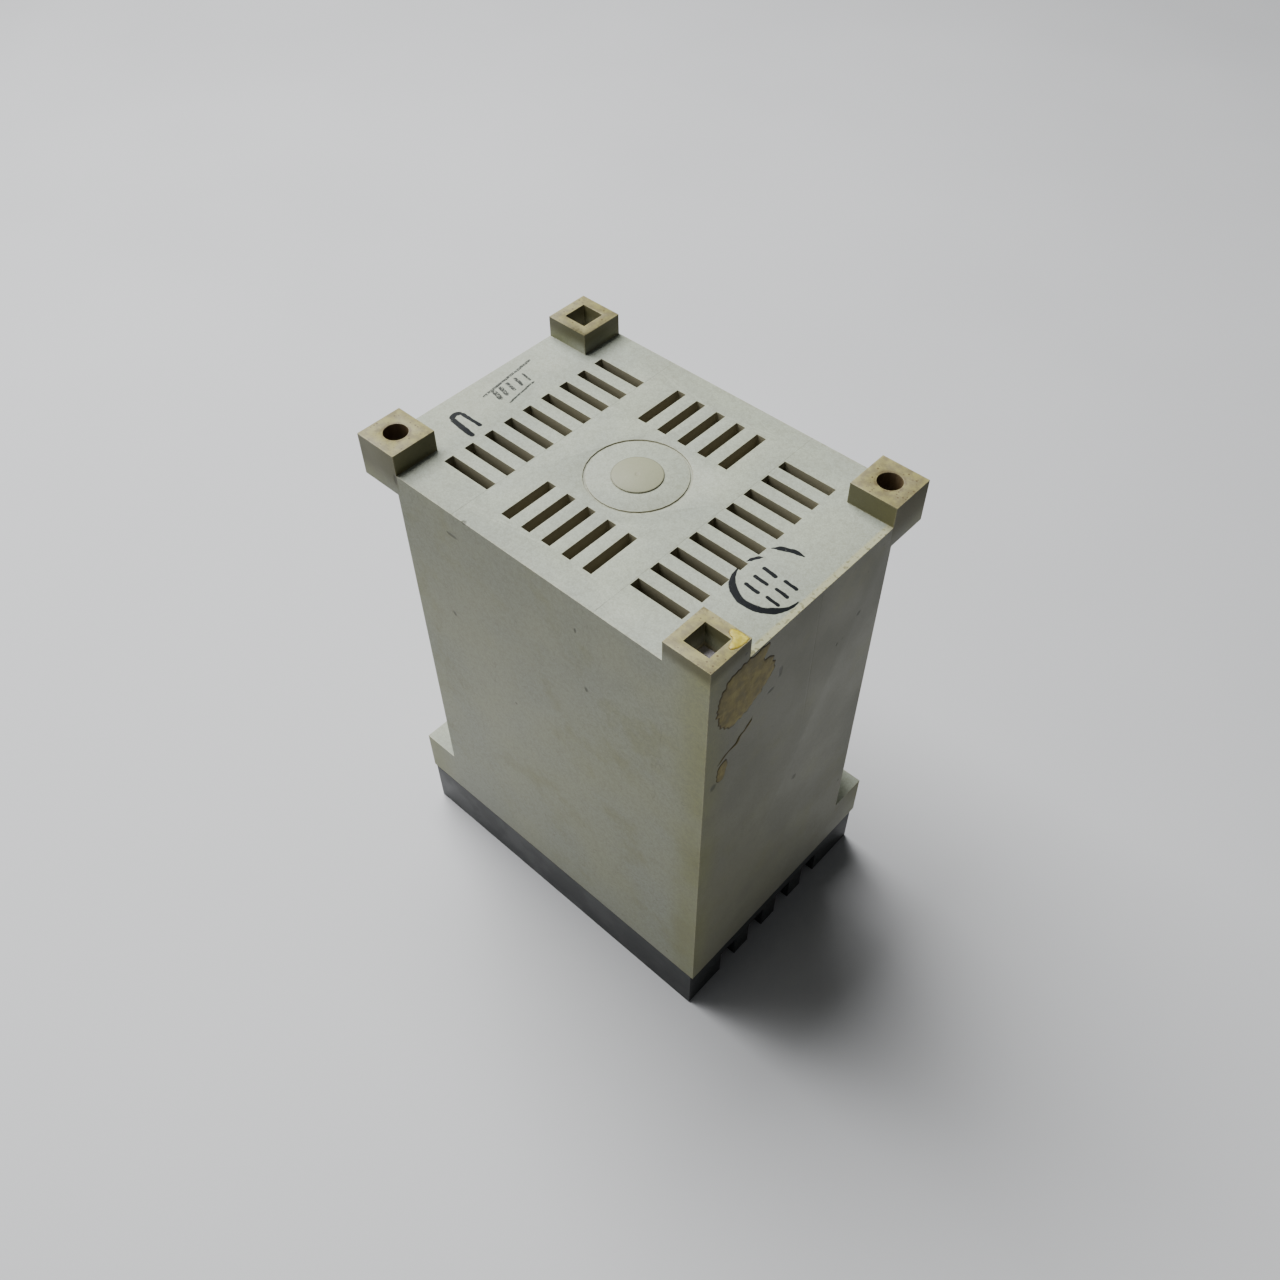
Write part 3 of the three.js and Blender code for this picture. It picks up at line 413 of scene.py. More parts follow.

# Inside the slots the plastic is painted browner, for the dust that settles there and stays, and
# lighter, a painted light on the shaded slot walls. The same height on the outer walls is left
# alone: a slot is always further than the margin from the rim.
SLOT_MARGIN = 3 * MM
beside = calc(tree, "MINIMUM", from_corner, calc(tree, "SUBTRACT", from_end, 1 * MM))
under_skin = calc(tree, "ABSOLUTE", calc(tree, "SUBTRACT", z, BACK_Z - BACK_WALL / 2))
sunk = calc(tree, "MULTIPLY", calc(tree, "LESS_THAN", under_skin, 1.5 * MM),
            calc(tree, "SUBTRACT", 1.0, up))
slot_wall = calc(tree, "MULTIPLY", sunk, calc(tree, "GREATER_THAN", beside, SLOT_MARGIN))
tone = tinge(tree, tone, slot_wall, 0.65, colour(150, 142, 118))
print("case: base tones")

# %% [markdown]
# The lugs take the wear. Above the back wall the plastic is tan, darkest on top, with brown specks
# and rubbed rims; the same tan runs down their outer faces and fades.

# %% Case plastic: lugs, edges and dirt
LUG_REACH = LUG_SIDE + 0.1 * MM
POCKET_REACH = 3.6 * MM          # a hair over half the square pocket's diagonal
LUG_BROWN = colour(78, 58, 36)
on_lug = ramp(tree, z, BACK_Z + 0.6 * MM, BACK_Z + 3.0 * MM)
lug_top = calc(tree, "MULTIPLY", ramp(tree, z, LUG_TOP_Z - 0.5 * MM, LUG_TOP_Z - 0.1 * MM), up)
lug_noise = add(tree, "TexNoise", None, Vector=place, Scale=520.0, Detail=6.0, Roughness=0.7)
LUG_TAN = colour(143, 134, 70)
LUG_DARK = colour(112, 100, 54)
stained = blend(tree, ramp(tree, lug_noise.outputs[0], 0.38, 0.62), LUG_TAN, LUG_DARK)
on_root = calc(tree, "MULTIPLY", calc(tree, "GREATER_THAN", calc(tree, "MULTIPLY", x, y), 0.0),
               calc(tree, "MULTIPLY", calc(tree, "LESS_THAN", from_corner, LUG_REACH),
                    calc(tree, "LESS_THAN", from_end, LUG_REACH)))
on_root = calc(tree, "MULTIPLY", on_root, ramp(tree, z, BACK_Z - LUG_ROOT - 0.2 * MM, BACK_Z))
lug_share = calc(tree, "MULTIPLY", calc(tree, "MAXIMUM", on_lug, on_root),
                 ramp(tree, up, 0.0, 1.0, 0.80, 0.25))
tone = blend(tree, lug_share, tone, colour(86, 82, 48))
tone = tinge(tree, tone, lug_top, 0.80, stained)
lug_specks = use(tree, SPECKS, Place=place, Spacing=0.60 * MM, Share=0.30, Size=0.30)["Mask"]
tone = blend(tree, calc(tree, "MULTIPLY", calc(tree, "MULTIPLY", lug_specks, lug_top), 0.75),
             tone, LUG_BROWN)

# Inside the round bores the plastic is painted dark brown, and the floors of the square pockets a
# pale bluish white.
bore_x = calc(tree, "SUBTRACT", calc(tree, "ABSOLUTE", x), LUG_X)
bore_y = calc(tree, "SUBTRACT", calc(tree, "ABSOLUTE", y), LUG_Y)
from_bore = add(tree, "VectorMath", {"operation": "LENGTH"}, i0=add(
    tree, "CombineXYZ", None, X=bore_x, Y=bore_y, Z=0.0).outputs[0]).outputs["Value"]
same_sign = calc(tree, "GREATER_THAN", calc(tree, "MULTIPLY", x, y), 0.0)
in_bore = calc(tree, "MULTIPLY", calc(tree, "MULTIPLY", same_sign, calc(
    tree, "LESS_THAN", from_bore, BORE_RADIUS + 0.3 * MM)), ramp(tree, up, 0.6, 0.2))
tone = tinge(tree, tone, in_bore, 0.85, LUG_BROWN)
bore_rim = calc(tree, "MULTIPLY", calc(tree, "MULTIPLY", lug_top, same_sign),
                ramp(tree, from_bore, BORE_RADIUS + 0.75 * MM, BORE_RADIUS + 0.15 * MM))
bore_rim = calc(tree, "MULTIPLY", bore_rim, ramp(tree, lug_noise.outputs[0], 0.35, 0.6, 0.1, 0.75))
tone = blend(tree, bore_rim, tone, colour(84, 66, 40))
pocket_gap = calc(tree, "ABSOLUTE", calc(tree, "SUBTRACT", z, LUG_TOP_Z - POCKET_DEPTH))
pocket_floor = calc(tree, "MULTIPLY", calc(tree, "MULTIPLY", up, calc(
    tree, "LESS_THAN", from_bore, POCKET_REACH)), calc(tree, "LESS_THAN", pocket_gap, 0.3 * MM))
tone = blend(tree, pocket_floor, tone, colour(196, 192, 200))

on_back = calc(tree, "LESS_THAN", calc(tree, "ABSOLUTE", calc(tree, "SUBTRACT", z, BACK_Z)),
               0.35 * MM)

# The rims of the case: a pale band on every edge, partly rubbed wear and partly a painted
# highlight, with brown dirt caught along the very edge.
wear = use(tree, WEAR, Place=place, Width=0.45 * MM, Patch_size=2.2 * MM, Amount=0.42)
tone = tinge(tree, tone, wear["Edge"], 0.32, colour(186, 180, 142))
dirt_patch = add(tree, "TexNoise", None, Vector=place, Scale=1300.0, Detail=3.0)
dirty_edge = calc(tree, "MULTIPLY", wear["Edge"], ramp(tree, dirt_patch.outputs[0], 0.50, 0.64))
dirty_edge = calc(tree, "MULTIPLY", dirty_edge, ramp(tree, on_lug, 0.0, 1.0, 0.55, 1.0))
tone = tinge(tree, tone, dirty_edge, 0.55, colour(84, 72, 46))
few_specks = use(tree, SPECKS, Place=place, Spacing=6.5 * MM, Share=0.30, Size=0.045)["Mask"]
tone = tinge(tree, tone, few_specks, 0.7, colour(70, 64, 52))
fine_scratch = use(tree, SCRATCH, Place=place, Stretch=(260.0, 2600.0, 90.0), Share=0.004)["Mask"]
tone = tinge(tree, tone, fine_scratch, 0.16, colour(92, 88, 74))

# Along the +X rim of the back wall a cream band has olive marks in it.
rim_band = calc(tree, "MULTIPLY", calc(tree, "MULTIPLY", up, on_back), ramp(
    tree, calc(tree, "SUBTRACT", HALF_X, x), 1.5 * MM, 0.9 * MM))
tone = tinge(tree, tone, rim_band, 0.55, colour(184, 180, 134))
rim_marks = calc(tree, "MULTIPLY", rim_band, ramp(tree, dirt_patch.outputs[0], 0.54, 0.64))
tone = tinge(tree, tone, rim_marks, 0.6, colour(104, 100, 62))
print("case: lugs, edges and dirt")

# %% [markdown]
# The moulded disc in the middle is where the plastic was injected: a shade warmer, with a dimple at
# its centre and a painted shadow round its rim. Round it runs a thin groove, painted darker in
# patches as painted shade.

# %% Case plastic: injection disc and ring groove
DISC_RADIUS, GROOVE_RADIUS = 4.6 * MM, 9.3 * MM
flat_place = add(tree, "CombineXYZ", None, X=x, Y=y, Z=0.0)
from_axis = add(tree, "VectorMath", {"operation": "LENGTH"}, i0=flat_place.outputs[0])
axis_gap = from_axis.outputs["Value"]
near_top = calc(tree, "MULTIPLY", up, calc(tree, "GREATER_THAN", z, BACK_Z - 0.4 * MM))
disc = calc(tree, "MULTIPLY", near_top, ramp(tree, axis_gap, DISC_RADIUS + 0.1 * MM,
                                             DISC_RADIUS - 0.1 * MM))
dimple = calc(tree, "MULTIPLY", near_top, ramp(tree, axis_gap, 0.55 * MM, 0.25 * MM))
groove = calc(tree, "MULTIPLY", near_top, ramp(tree, calc(tree, "ABSOLUTE", calc(
    tree, "SUBTRACT", axis_gap, GROOVE_RADIUS)), 0.30 * MM, 0.18 * MM))
disc_rim = calc(tree, "MULTIPLY", near_top, ramp(tree, calc(tree, "ABSOLUTE", calc(
    tree, "SUBTRACT", axis_gap, DISC_RADIUS)), 0.22 * MM, 0.08 * MM))
# Painted shade in the groove, in patches, and a painted shadow all round the disc's rim.
groove_shade = calc(tree, "MULTIPLY", groove, ramp(tree, film.outputs[0], 0.35, 0.6, 0.0, 0.35))
tone = tinge(tree, tone, disc, 0.85, colour(140, 141, 112))
tone = blend(tree, groove_shade, tone, colour(92, 90, 78))
tone = tinge(tree, tone, disc_rim, 0.50, colour(84, 82, 62))
tone = tinge(tree, tone, dimple, 0.35, colour(140, 136, 116))
print("case: disc and groove")

# %% [markdown]
# ### Marks on the case
# Three ink marks sit on the back wall: a broken stamped ring, a ruled pair of lines, and a pen
# stroke bent like an arch. What they once said isn't repeated here. Plain bars and ticks stand in
# for it. The ink lies only on the back wall, so one mask on height and direction
# keeps it off everything else.

# %% Ink on the back wall
def at(px, py):
    """A point on the back wall, from millimetres."""
    return (px * MM, py * MM, BACK_Z)


def pen(ax, ay, bx, by, width):
    """The mask of one straight stroke from a to b, in millimetres."""
    return use(tree, STROKE, Place=wall_place, From=at(ax, ay),
               Along=((bx - ax) * MM, (by - ay) * MM, 0.0), Width=width * MM)["Mask"]


def arc(cx, cy, radius, middle, half, width):
    """The mask of one arc about c, centred on the middle angle, in millimetres and degrees."""
    turned = math.radians(middle)
    return use(tree, ARC, Place=wall_place, Centre=at(cx, cy), Radius=radius * MM,
               Width=width * MM, Middle=(math.cos(turned), math.sin(turned), 0.0),
               Half_angle=math.radians(half))["Mask"]


flat_xy = add(tree, "CombineXYZ", None, X=x, Y=y, Z=BACK_Z)
shake = add(tree, "TexNoise", None, Vector=place, Scale=700.0, Detail=3.0)
shake_centred = add(tree, "VectorMath", {"operation": "SUBTRACT"}, i0=shake.outputs["Color"],
                    i1=(0.5, 0.5, 0.5))
shake_small = add(tree, "VectorMath", {"operation": "SCALE"}, i0=shake_centred.outputs[0],
                  Scale=0.42 * MM)
wobbled = add(tree, "VectorMath", {"operation": "ADD"}, i0=flat_xy.outputs[0],
              i1=shake_small.outputs[0])
keep_flat = add(tree, "SeparateXYZ", None, Vector=wobbled.outputs[0])
wall_place = add(tree, "CombineXYZ", None, X=keep_flat.outputs[0], Y=keep_flat.outputs[1],
                 Z=BACK_Z).outputs[0]

RING_X, RING_Y = 32.7, -4.9
bold = [
    arc(RING_X, RING_Y, 5.85, 272, 88, 1.35),
    arc(RING_X, RING_Y, 5.9, 152, 14, 0.7),
    arc(RING_X + 0.3, RING_Y + 1.6, 6.9, 112, 24, 1.0),
    pen(-30.1, -9.0, -34.6, -9.0, 0.85), pen(-29.2, -11.8, -34.6, -11.3, 1.15),
    arc(-34.5, -10.15, 1.15, 180, 90, 1.15),
]
for bar_y in (-7.4, -5.1, -2.8):
    bold += [pen(30.0, bar_y, 32.5, bar_y - 0.2, 0.75), pen(34.3, bar_y, 36.6, bar_y - 0.2, 0.7)]
faint = [pen(-37.3, 10.3, -35.6, -2.8, 0.55), pen(-32.0, 6.2, -30.8, -0.8, 0.42)]
for tick, tick_y in enumerate((6.6, 4.6, 2.6, 0.8, -0.8)):
    faint.append(pen(-35.2, tick_y, -33.0, tick_y - 0.4, 0.50 + 0.13 * tick))


def all_of(masks):
    """Joins masks: 1 wherever any of them is."""
    joined = masks[0]
    for mask in masks[1:]:
        joined = calc(tree, "MAXIMUM", joined, mask)
    return joined


on_wall = calc(tree, "MULTIPLY", up, calc(tree, "LESS_THAN",
               calc(tree, "ABSOLUTE", calc(tree, "SUBTRACT", z, BACK_Z)), 0.12 * MM))
thin_ink = add(tree, "TexNoise", None, Vector=place, Scale=2400.0, Detail=4.0, Roughness=0.75)
bold_ink = calc(tree, "MULTIPLY", all_of(bold), ramp(tree, thin_ink.outputs[0], 0.22, 0.36))
faint_ink = calc(tree, "MULTIPLY", all_of(faint), ramp(tree, thin_ink.outputs[0], 0.34, 0.52))
ink = calc(tree, "MULTIPLY", on_wall, calc(tree, "MAXIMUM", calc(tree, "MULTIPLY", bold_ink, 0.98),
                                           calc(tree, "MULTIPLY", faint_ink, 0.90)))
tone = blend(tree, ink, tone, colour(14, 17, 23))
print("ink strokes and arcs:", len(bold) + len(faint))

# %% [markdown]
# Mould marks finish the case: a shallow line where two inserts of the tool met on the back wall,
# inside each end row of slots, a vertical witness line down each short end, and nicks along the
# long edge. They are too shallow for geometry, so they go into the bump and the tone together.

# %% Mould lines, nicks and the case's relief
LINE_X = 16.4 * MM
insert_gap = calc(tree, "ABSOLUTE", calc(tree, "SUBTRACT", calc(tree, "ABSOLUTE", x), LINE_X))
insert_line = calc(tree, "MULTIPLY", ramp(tree, insert_gap, 0.16 * MM, 0.04 * MM), on_wall)
end_gap = calc(tree, "ABSOLUTE", calc(tree, "ADD", y, 0.6 * MM))
end_line = calc(tree, "MULTIPLY", ramp(tree, end_gap, 0.22 * MM, 0.05 * MM), endways)
end_line = calc(tree, "MULTIPLY", end_line, ramp(tree, z, 62 * MM, 88 * MM))
mould_line = calc(tree, "MAXIMUM", insert_line, end_line)
tone = tinge(tree, tone, mould_line, 0.12, colour(92, 90, 76))

# Nicks and dents: middle point and reach of each, in millimetres.
DENTS = [(-31, -28, 106.2, 0.5, 0.6, 1.8), (-13.4, -28, 107, 0.8, 0.8, 0.5),
         (-17.0, -28, 101.6, 1.9, 0.6, 0.45), (-20.5, -28, 79.4, 0.7, 0.6, 0.7),
         (13.8, -28, 85.6, 0.5, 0.6, 0.8), (12.0, -28, 99.4, 0.35, 0.6, 0.7),
         (40, 6.6, 88.0, 0.6, 0.55, 0.55), (40, 12.2, 91.5, 0.6, 0.7, 0.7),
         (40, -9.9, 95.8, 0.6, 0.8, 1.6), (40, -12.2, 92.9, 0.6, 1.3, 0.5),
         (40, -25.8, 79.9, 0.6, 0.9, 1.1), (40, -0.6, 56, 0.6, 0.9, 1.0),
         (29.0, 24.6, 107, 0.35, 0.9, 0.5), (30.2, -24.6, 107, 0.3, 0.8, 0.5)]
dents = all_of([use(tree, STAIN, Place=place, Centre=(a * MM, b * MM, c * MM),
                    Reach=(d * MM, e * MM, f * MM), Ragged=1.6)["Mask"]
                for a, b, c, d, e, f in DENTS])
tone = tinge(tree, tone, dents, 0.62, colour(66, 64, 50))

rough = calc(tree, "ADD", ramp(tree, grain["Cloud"], 0.0, 1.0, 0.50, 0.60),
             calc(tree, "MULTIPLY", wear["Mask"], -0.12))
rough = calc(tree, "SUBTRACT", rough, calc(tree, "MULTIPLY", ink, 0.12))
wire(tree, shader, Base_Color=tone, Roughness=rough,
     Specular_IOR_Level=ramp(tree, ink, 0.0, 1.0, 0.42, 0.08))
pressed = calc(tree, "MULTIPLY_ADD", mould_line, -0.3, 1.0)
pressed = calc(tree, "SUBTRACT", calc(tree, "SUBTRACT", pressed, dents), calc(
    tree, "MULTIPLY", dimple, 0.6))
sag = add(tree, "TexNoise", None, Vector=place, Scale=30.0, Detail=1.0)
relief(tree, shader, (sag.outputs[0], 0.5 * MM, 0.07), (grain["Height"], 0.06 * MM, 0.55),
       (pressed, 0.12 * MM, 0.8))
FINISH["case"] = material
print("finish:", material.name, "with", len(tree.nodes), "nodes")

# %% [markdown]
# ### The dark cover and the terminal blocks
# The cover is a charcoal moulding with a little dust and pale rubbed edges. The blocks are
# phenolic: nearly black, brown in the light, slightly glossy. They differ only in tones, gloss and
# grain, so one function makes both.


# %% Dark moulded plastics
def dark_plastic(name, dark, pale, edge_colour, gloss, grain_mm):
    """A dark moulding: grain, cloudy tone, dust and pale worn edges."""
    material, tree, shader, place = finish(name, Specular_IOR_Level=0.45)
    grain = use(tree, GRAIN, Place=place, Grain_size=grain_mm * MM, Cloud_size=9 * MM)
    wear = use(tree, WEAR, Place=place, Width=0.30 * MM, Patch_size=1.8 * MM, Amount=0.40)
    dust = use(tree, SPECKS, Place=place, Spacing=1.1 * MM, Share=0.22, Size=0.10)["Mask"]
    scratch = use(tree, SCRATCH, Place=place, Stretch=(60.0, 1500.0, 1500.0), Share=0.006)["Mask"]
    tone = blend(tree, grain["Cloud"], dark, pale)
    tone = tinge(tree, tone, dust, 0.35, edge_colour)
    tone = tinge(tree, tone, scratch, 0.25, edge_colour)
    tone = tinge(tree, tone, wear["Mask"], 0.55, edge_colour)
    rough = ramp(tree, grain["Cloud"], 0.0, 1.0, gloss - 0.06, gloss + 0.08)
    wire(tree, shader, Base_Color=tone, Roughness=rough)
    relief(tree, shader, (grain["Height"], 0.05 * MM, 0.35))
    return material


FINISH["cover"] = dark_plastic("charcoal cover", colour(41, 43, 43), colour(50, 52, 52),
                               colour(92, 94, 92), 0.52, 0.28)
FINISH["block"] = dark_plastic("phenolic block", colour(30, 24, 20), colour(44, 36, 30),
                               colour(96, 82, 68), 0.40, 0.20)
print("finishes:", FINISH["cover"].name, FINISH["block"].name)

# %% [markdown]
# ### The blank label
# The label is a thin foil plate, brushed along its length, with a printed border, one plain panel
# and no words. Both are bands measured from the plate's own rim, so they follow its size.

# %% Blank foil label
material, tree, shader, place = finish("blank foil label", Metallic=0.35)
label_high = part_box("face_label")[1]
xyz = add(tree, "SeparateXYZ", None, Vector=place)
x, y, z = xyz.outputs
edge_x = calc(tree, "SUBTRACT", float(label_high[0]), calc(tree, "ABSOLUTE", x))
edge_y = calc(tree, "SUBTRACT", float(label_high[1]), calc(tree, "ABSOLUTE", y))
from_rim = calc(tree, "MINIMUM", edge_x, edge_y)
frame_line = calc(tree, "MULTIPLY", ramp(tree, from_rim, 0.9 * MM, 1.0 * MM),
                  ramp(tree, from_rim, 1.5 * MM, 1.4 * MM))
panel = calc(tree, "MULTIPLY", ramp(tree, from_rim, 2.6 * MM, 2.7 * MM),
             calc(tree, "LESS_THAN", calc(tree, "ABSOLUTE", y), 3.4 * MM))
brushed = add(tree, "VectorMath", {"operation": "MULTIPLY"}, i0=place, i1=(120.0, 5200.0, 1.0))
brush = add(tree, "TexNoise", None, Vector=brushed.outputs[0], Scale=1.0, Detail=3.0)
grain = use(tree, GRAIN, Place=place, Grain_size=0.4 * MM, Cloud_size=11 * MM)
wear = use(tree, WEAR, Place=place, Width=0.2 * MM, Patch_size=2.0 * MM, Amount=0.4)
tone = blend(tree, ramp(tree, brush.outputs[0], 0.3, 0.7), colour(176, 179, 180),
             colour(198, 200, 200))
tone = tinge(tree, tone, grain["Cloud"], 0.35, colour(168, 168, 160))
tone = blend(tree, frame_line, tone, colour(40, 44, 50))
tone = tinge(tree, tone, panel, 0.8, colour(58, 76, 92))
tone = tinge(tree, tone, wear["Mask"], 0.5, colour(120, 120, 116))
rough = ramp(tree, brush.outputs[0], 0.3, 0.7, 0.34, 0.50)
wire(tree, shader, Base_Color=tone, Roughness=rough)
relief(tree, shader, (brush.outputs[0], 0.02 * MM, 0.25))
FINISH["label"] = material
print("finish:", material.name)

# %% [markdown]
# ### Metals
# Brass terminals, steel screws and clamp plates, yellow-passivated zinc screws, tinned leads and
# an extruded aluminium heat sink differ in colour, in how they tarnish and in the direction of
# their tool marks. One function takes those three things.


# %% Metals
def metal(name, bright, tarnished, gloss, brush_scale, tarnish_mm, tarnish_share=0.5):
    """A metal: fine tool marks along one direction, cloudy tarnish, bright worn edges."""
    material, tree, shader, place = finish(name, Metallic=1.0)
    marks = add(tree, "VectorMath", {"operation": "MULTIPLY"}, i0=place, i1=brush_scale)
    tool = add(tree, "TexNoise", None, Vector=marks.outputs[0], Scale=1.0, Detail=3.0)
    grain = use(tree, GRAIN, Place=place, Grain_size=0.12 * MM, Cloud_size=tarnish_mm * MM)
    wear = use(tree, WEAR, Place=place, Width=0.15 * MM, Patch_size=0.9 * MM, Amount=0.5)
    spots = use(tree, SPECKS, Place=place, Spacing=0.8 * MM, Share=0.25, Size=0.14)["Mask"]
    dull = calc(tree, "MULTIPLY", grain["Cloud"], tarnish_share)
    tone = blend(tree, dull, bright, tarnished)
    tone = tinge(tree, tone, spots, 0.4, tarnished)
    tone = tinge(tree, tone, wear["Mask"], 0.6, bright)
    rough = calc(tree, "ADD", ramp(tree, tool.outputs[0], 0.3, 0.7, gloss - 0.07, gloss + 0.09),
                 calc(tree, "MULTIPLY", dull, 0.18))
    wire(tree, shader, Base_Color=tone, Roughness=rough)
    relief(tree, shader, (tool.outputs[0], 0.02 * MM, 0.30), (grain["Height"], 0.01 * MM, 0.2))
    return material


FINISH["brass"] = metal("tarnished brass", colour(206, 174, 98), colour(128, 98, 52), 0.32,
                        (300.0, 4200.0, 300.0), 2.6)
FINISH["steel"] = metal("turned steel", colour(196, 197, 198), colour(130, 126, 120), 0.30,
                        (900.0, 900.0, 5200.0), 2.2)
FINISH["zinc"] = metal("passivated zinc", colour(206, 196, 150), colour(150, 136, 92), 0.34,
                       (900.0, 900.0, 5200.0), 2.0)
FINISH["tinned"] = metal("tinned copper", colour(205, 205, 200), colour(150, 148, 142), 0.36,
                         (400.0, 400.0, 2600.0), 2.0)
FINISH["aluminium"] = metal("extruded aluminium", colour(200, 202, 204), colour(150, 152, 154),
                            0.42, (160.0, 5600.0, 5600.0), 12.0)
print("metals:", [FINISH[k].name for k in ("brass", "steel", "zinc", "tinned", "aluminium")])

# %% [markdown]
# ### Boards
# A board is woven glass under green lacquer, with copper tracks that show as lighter bands and
# soldered pads that shine. Tracks here are generic: rows of a stepped pattern worked out from the
# Object coordinates, so both boards get them. The cut edges stay pale glass.

# %% Circuit board
material, tree, shader, place = finish("green circuit board", Coat_Weight=0.25,
                                       Coat_Roughness=0.25)
weave_a = add(tree, "TexWave", {"bands_direction": "X"}, Vector=place, Scale=520.0,
              Distortion=0.6, Detail=1.0)
weave_b = add(tree, "TexWave", {"bands_direction": "Y"}, Vector=place, Scale=520.0,
              Distortion=0.6, Detail=1.0)
weave_c = add(tree, "TexWave", {"bands_direction": "Z"}, Vector=place, Scale=520.0,
              Distortion=0.6, Detail=1.0)
weave = calc(tree, "MULTIPLY", weave_a.outputs["Fac"],
             calc(tree, "MAXIMUM", weave_b.outputs["Fac"], weave_c.outputs["Fac"]))
steps = add(tree, "VectorMath", {"operation": "SNAP"}, i0=place, i1=(2.54 * MM, 2.54 * MM,
                                                                    2.54 * MM))
lane = add(tree, "TexWhiteNoise", {"noise_dimensions": "3D"}, Vector=steps.outputs[0])
xyz = add(tree, "SeparateXYZ", None, Vector=place)
x, y, z = xyz.outputs
facing = add(tree, "SeparateXYZ", None, Vector=add(tree, "NewGeometry").outputs["True Normal"])
cut_edge = ramp(tree, calc(tree, "ABSOLUTE", facing.outputs[0]), 0.7, 0.9)
row = calc(tree, "PINGPONG", calc(tree, "ADD", y, z), 1.27 * MM)
column = calc(tree, "PINGPONG", x, 1.27 * MM)
track = calc(tree, "MULTIPLY", ramp(tree, row, 0.42 * MM, 0.34 * MM),
             calc(tree, "GREATER_THAN", lane.outputs["Value"], 0.46))
riser = calc(tree, "MULTIPLY", ramp(tree, column, 0.42 * MM, 0.34 * MM),
             calc(tree, "LESS_THAN", lane.outputs["Value"], 0.20))
copper_under = calc(tree, "MAXIMUM", track, riser)
pad = calc(tree, "MULTIPLY", calc(tree, "LESS_THAN", calc(tree, "MAXIMUM", row, column),
                                  0.48 * MM),
           calc(tree, "GREATER_THAN", lane.outputs["Value"], 0.88))
grain = use(tree, GRAIN, Place=place, Grain_size=0.3 * MM, Cloud_size=8 * MM)
tone = blend(tree, ramp(tree, weave, 0.1, 0.9), colour(38, 74, 42), colour(48, 88, 50))
tone = tinge(tree, tone, copper_under, 0.8, colour(72, 122, 62))
tone = tinge(tree, tone, grain["Cloud"], 0.25, colour(66, 78, 40))
tone = blend(tree, pad, tone, colour(188, 188, 182))
tone = blend(tree, cut_edge, tone, colour(158, 160, 116))
rough = calc(tree, "SUBTRACT", ramp(tree, grain["Cloud"], 0.0, 1.0, 0.40, 0.52),
             calc(tree, "MULTIPLY", pad, 0.12))
height = calc(tree, "ADD", calc(tree, "MULTIPLY", weave, 0.2), calc(tree, "MAXIMUM", copper_under,
                                                                    pad))
wire(tree, shader, Base_Color=tone, Roughness=rough, Metallic=calc(tree, "MULTIPLY", pad, 0.9))
relief(tree, shader, (height, 0.05 * MM, 0.6))
FINISH["board"] = material
print("finish:", material.name)

# %% [markdown]
# ### The parts on the boards
# Transfer-moulded epoxy is matt black with a fine grain. A film capacitor is dipped in glossy
# red-brown lacquer, a varistor in blue, both with the small dimples of a dip.


# %% Dipped and moulded parts
def dipped(name, deep, light, gloss, coat):
    """A dip coat or moulding: wavy skin, tone that pools, fine pits."""
    material, tree, shader, place = finish(name, Coat_Weight=coat, Coat_Roughness=0.15)
    skin = add(tree, "TexNoise", None, Vector=place, Scale=380.0, Detail=3.0)
    pits = use(tree, SPECKS, Place=place, Spacing=0.9 * MM, Share=0.35, Size=0.12)["Mask"]
    wear = use(tree, WEAR, Place=place, Width=0.25 * MM, Patch_size=1.5 * MM, Amount=0.42)
    tone = blend(tree, ramp(tree, skin.outputs[0], 0.3, 0.7), deep, light)
    tone = tinge(tree, tone, wear["Mask"], 0.4, light)
    rough = ramp(tree, skin.outputs[0], 0.3, 0.7, gloss - 0.05, gloss + 0.07)
    wire(tree, shader, Base_Color=tone, Roughness=rough)
    height = calc(tree, "SUBTRACT", skin.outputs[0], calc(tree, "MULTIPLY", pits, 0.4))
    relief(tree, shader, (height, 0.08 * MM, 0.35))
    return material, tree, shader, place, tone


FINISH["epoxy"] = dipped("moulded epoxy", colour(24, 24, 26), colour(38, 38, 40), 0.55, 0.0)[0]
FINISH["film"] = dipped("red-brown lacquer", colour(112, 40, 24), colour(140, 58, 36), 0.32,
                        0.5)[0]
FINISH["ceramic"] = dipped("blue dip coat", colour(34, 78, 136), colour(56, 104, 160), 0.35,
                           0.4)[0]
print("dipped and moulded:", [FINISH[k].name for k in ("epoxy", "film", "ceramic")])

# %% [markdown]
# A resistor is dipped too, and then ringed with paint. Each band is a distance along the body from
# its middle, and one mask serves both resistors, because they lie mirrored about x = 0.

# %% Resistor with colour bands
material, tree, shader, place, body_tone = dipped("banded resistor", colour(122, 138, 102),
                                                  colour(140, 154, 118), 0.42, 0.3)
res_low, res_high = (np.array(v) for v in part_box("snubber_resistor_2"))
res_middle = float((res_low[0] + res_high[0]) / 2)
x = add(tree, "SeparateXYZ", None, Vector=place).outputs[0]
along = calc(tree, "SUBTRACT", calc(tree, "ABSOLUTE", x), res_middle)
tone = body_tone
for offset, band in ((-3.4, colour(120, 70, 34)), (-1.7, colour(24, 22, 20)),
                     (0.0, colour(172, 48, 30)), (3.0, colour(176, 146, 74))):
    near = calc(tree, "ABSOLUTE", calc(tree, "SUBTRACT", along, offset * MM))
    tone = blend(tree, ramp(tree, near, 0.50 * MM, 0.40 * MM), tone, band)
wire(tree, shader, Base_Color=tone)
FINISH["resistor"] = material
print("finish:", material.name)

# %% [markdown]
# The storage capacitor is an aluminium can in a shrunk sleeve. The sleeve has a pale stripe down
# one side and stops short of the top, which stays bare and is scored with a cross.

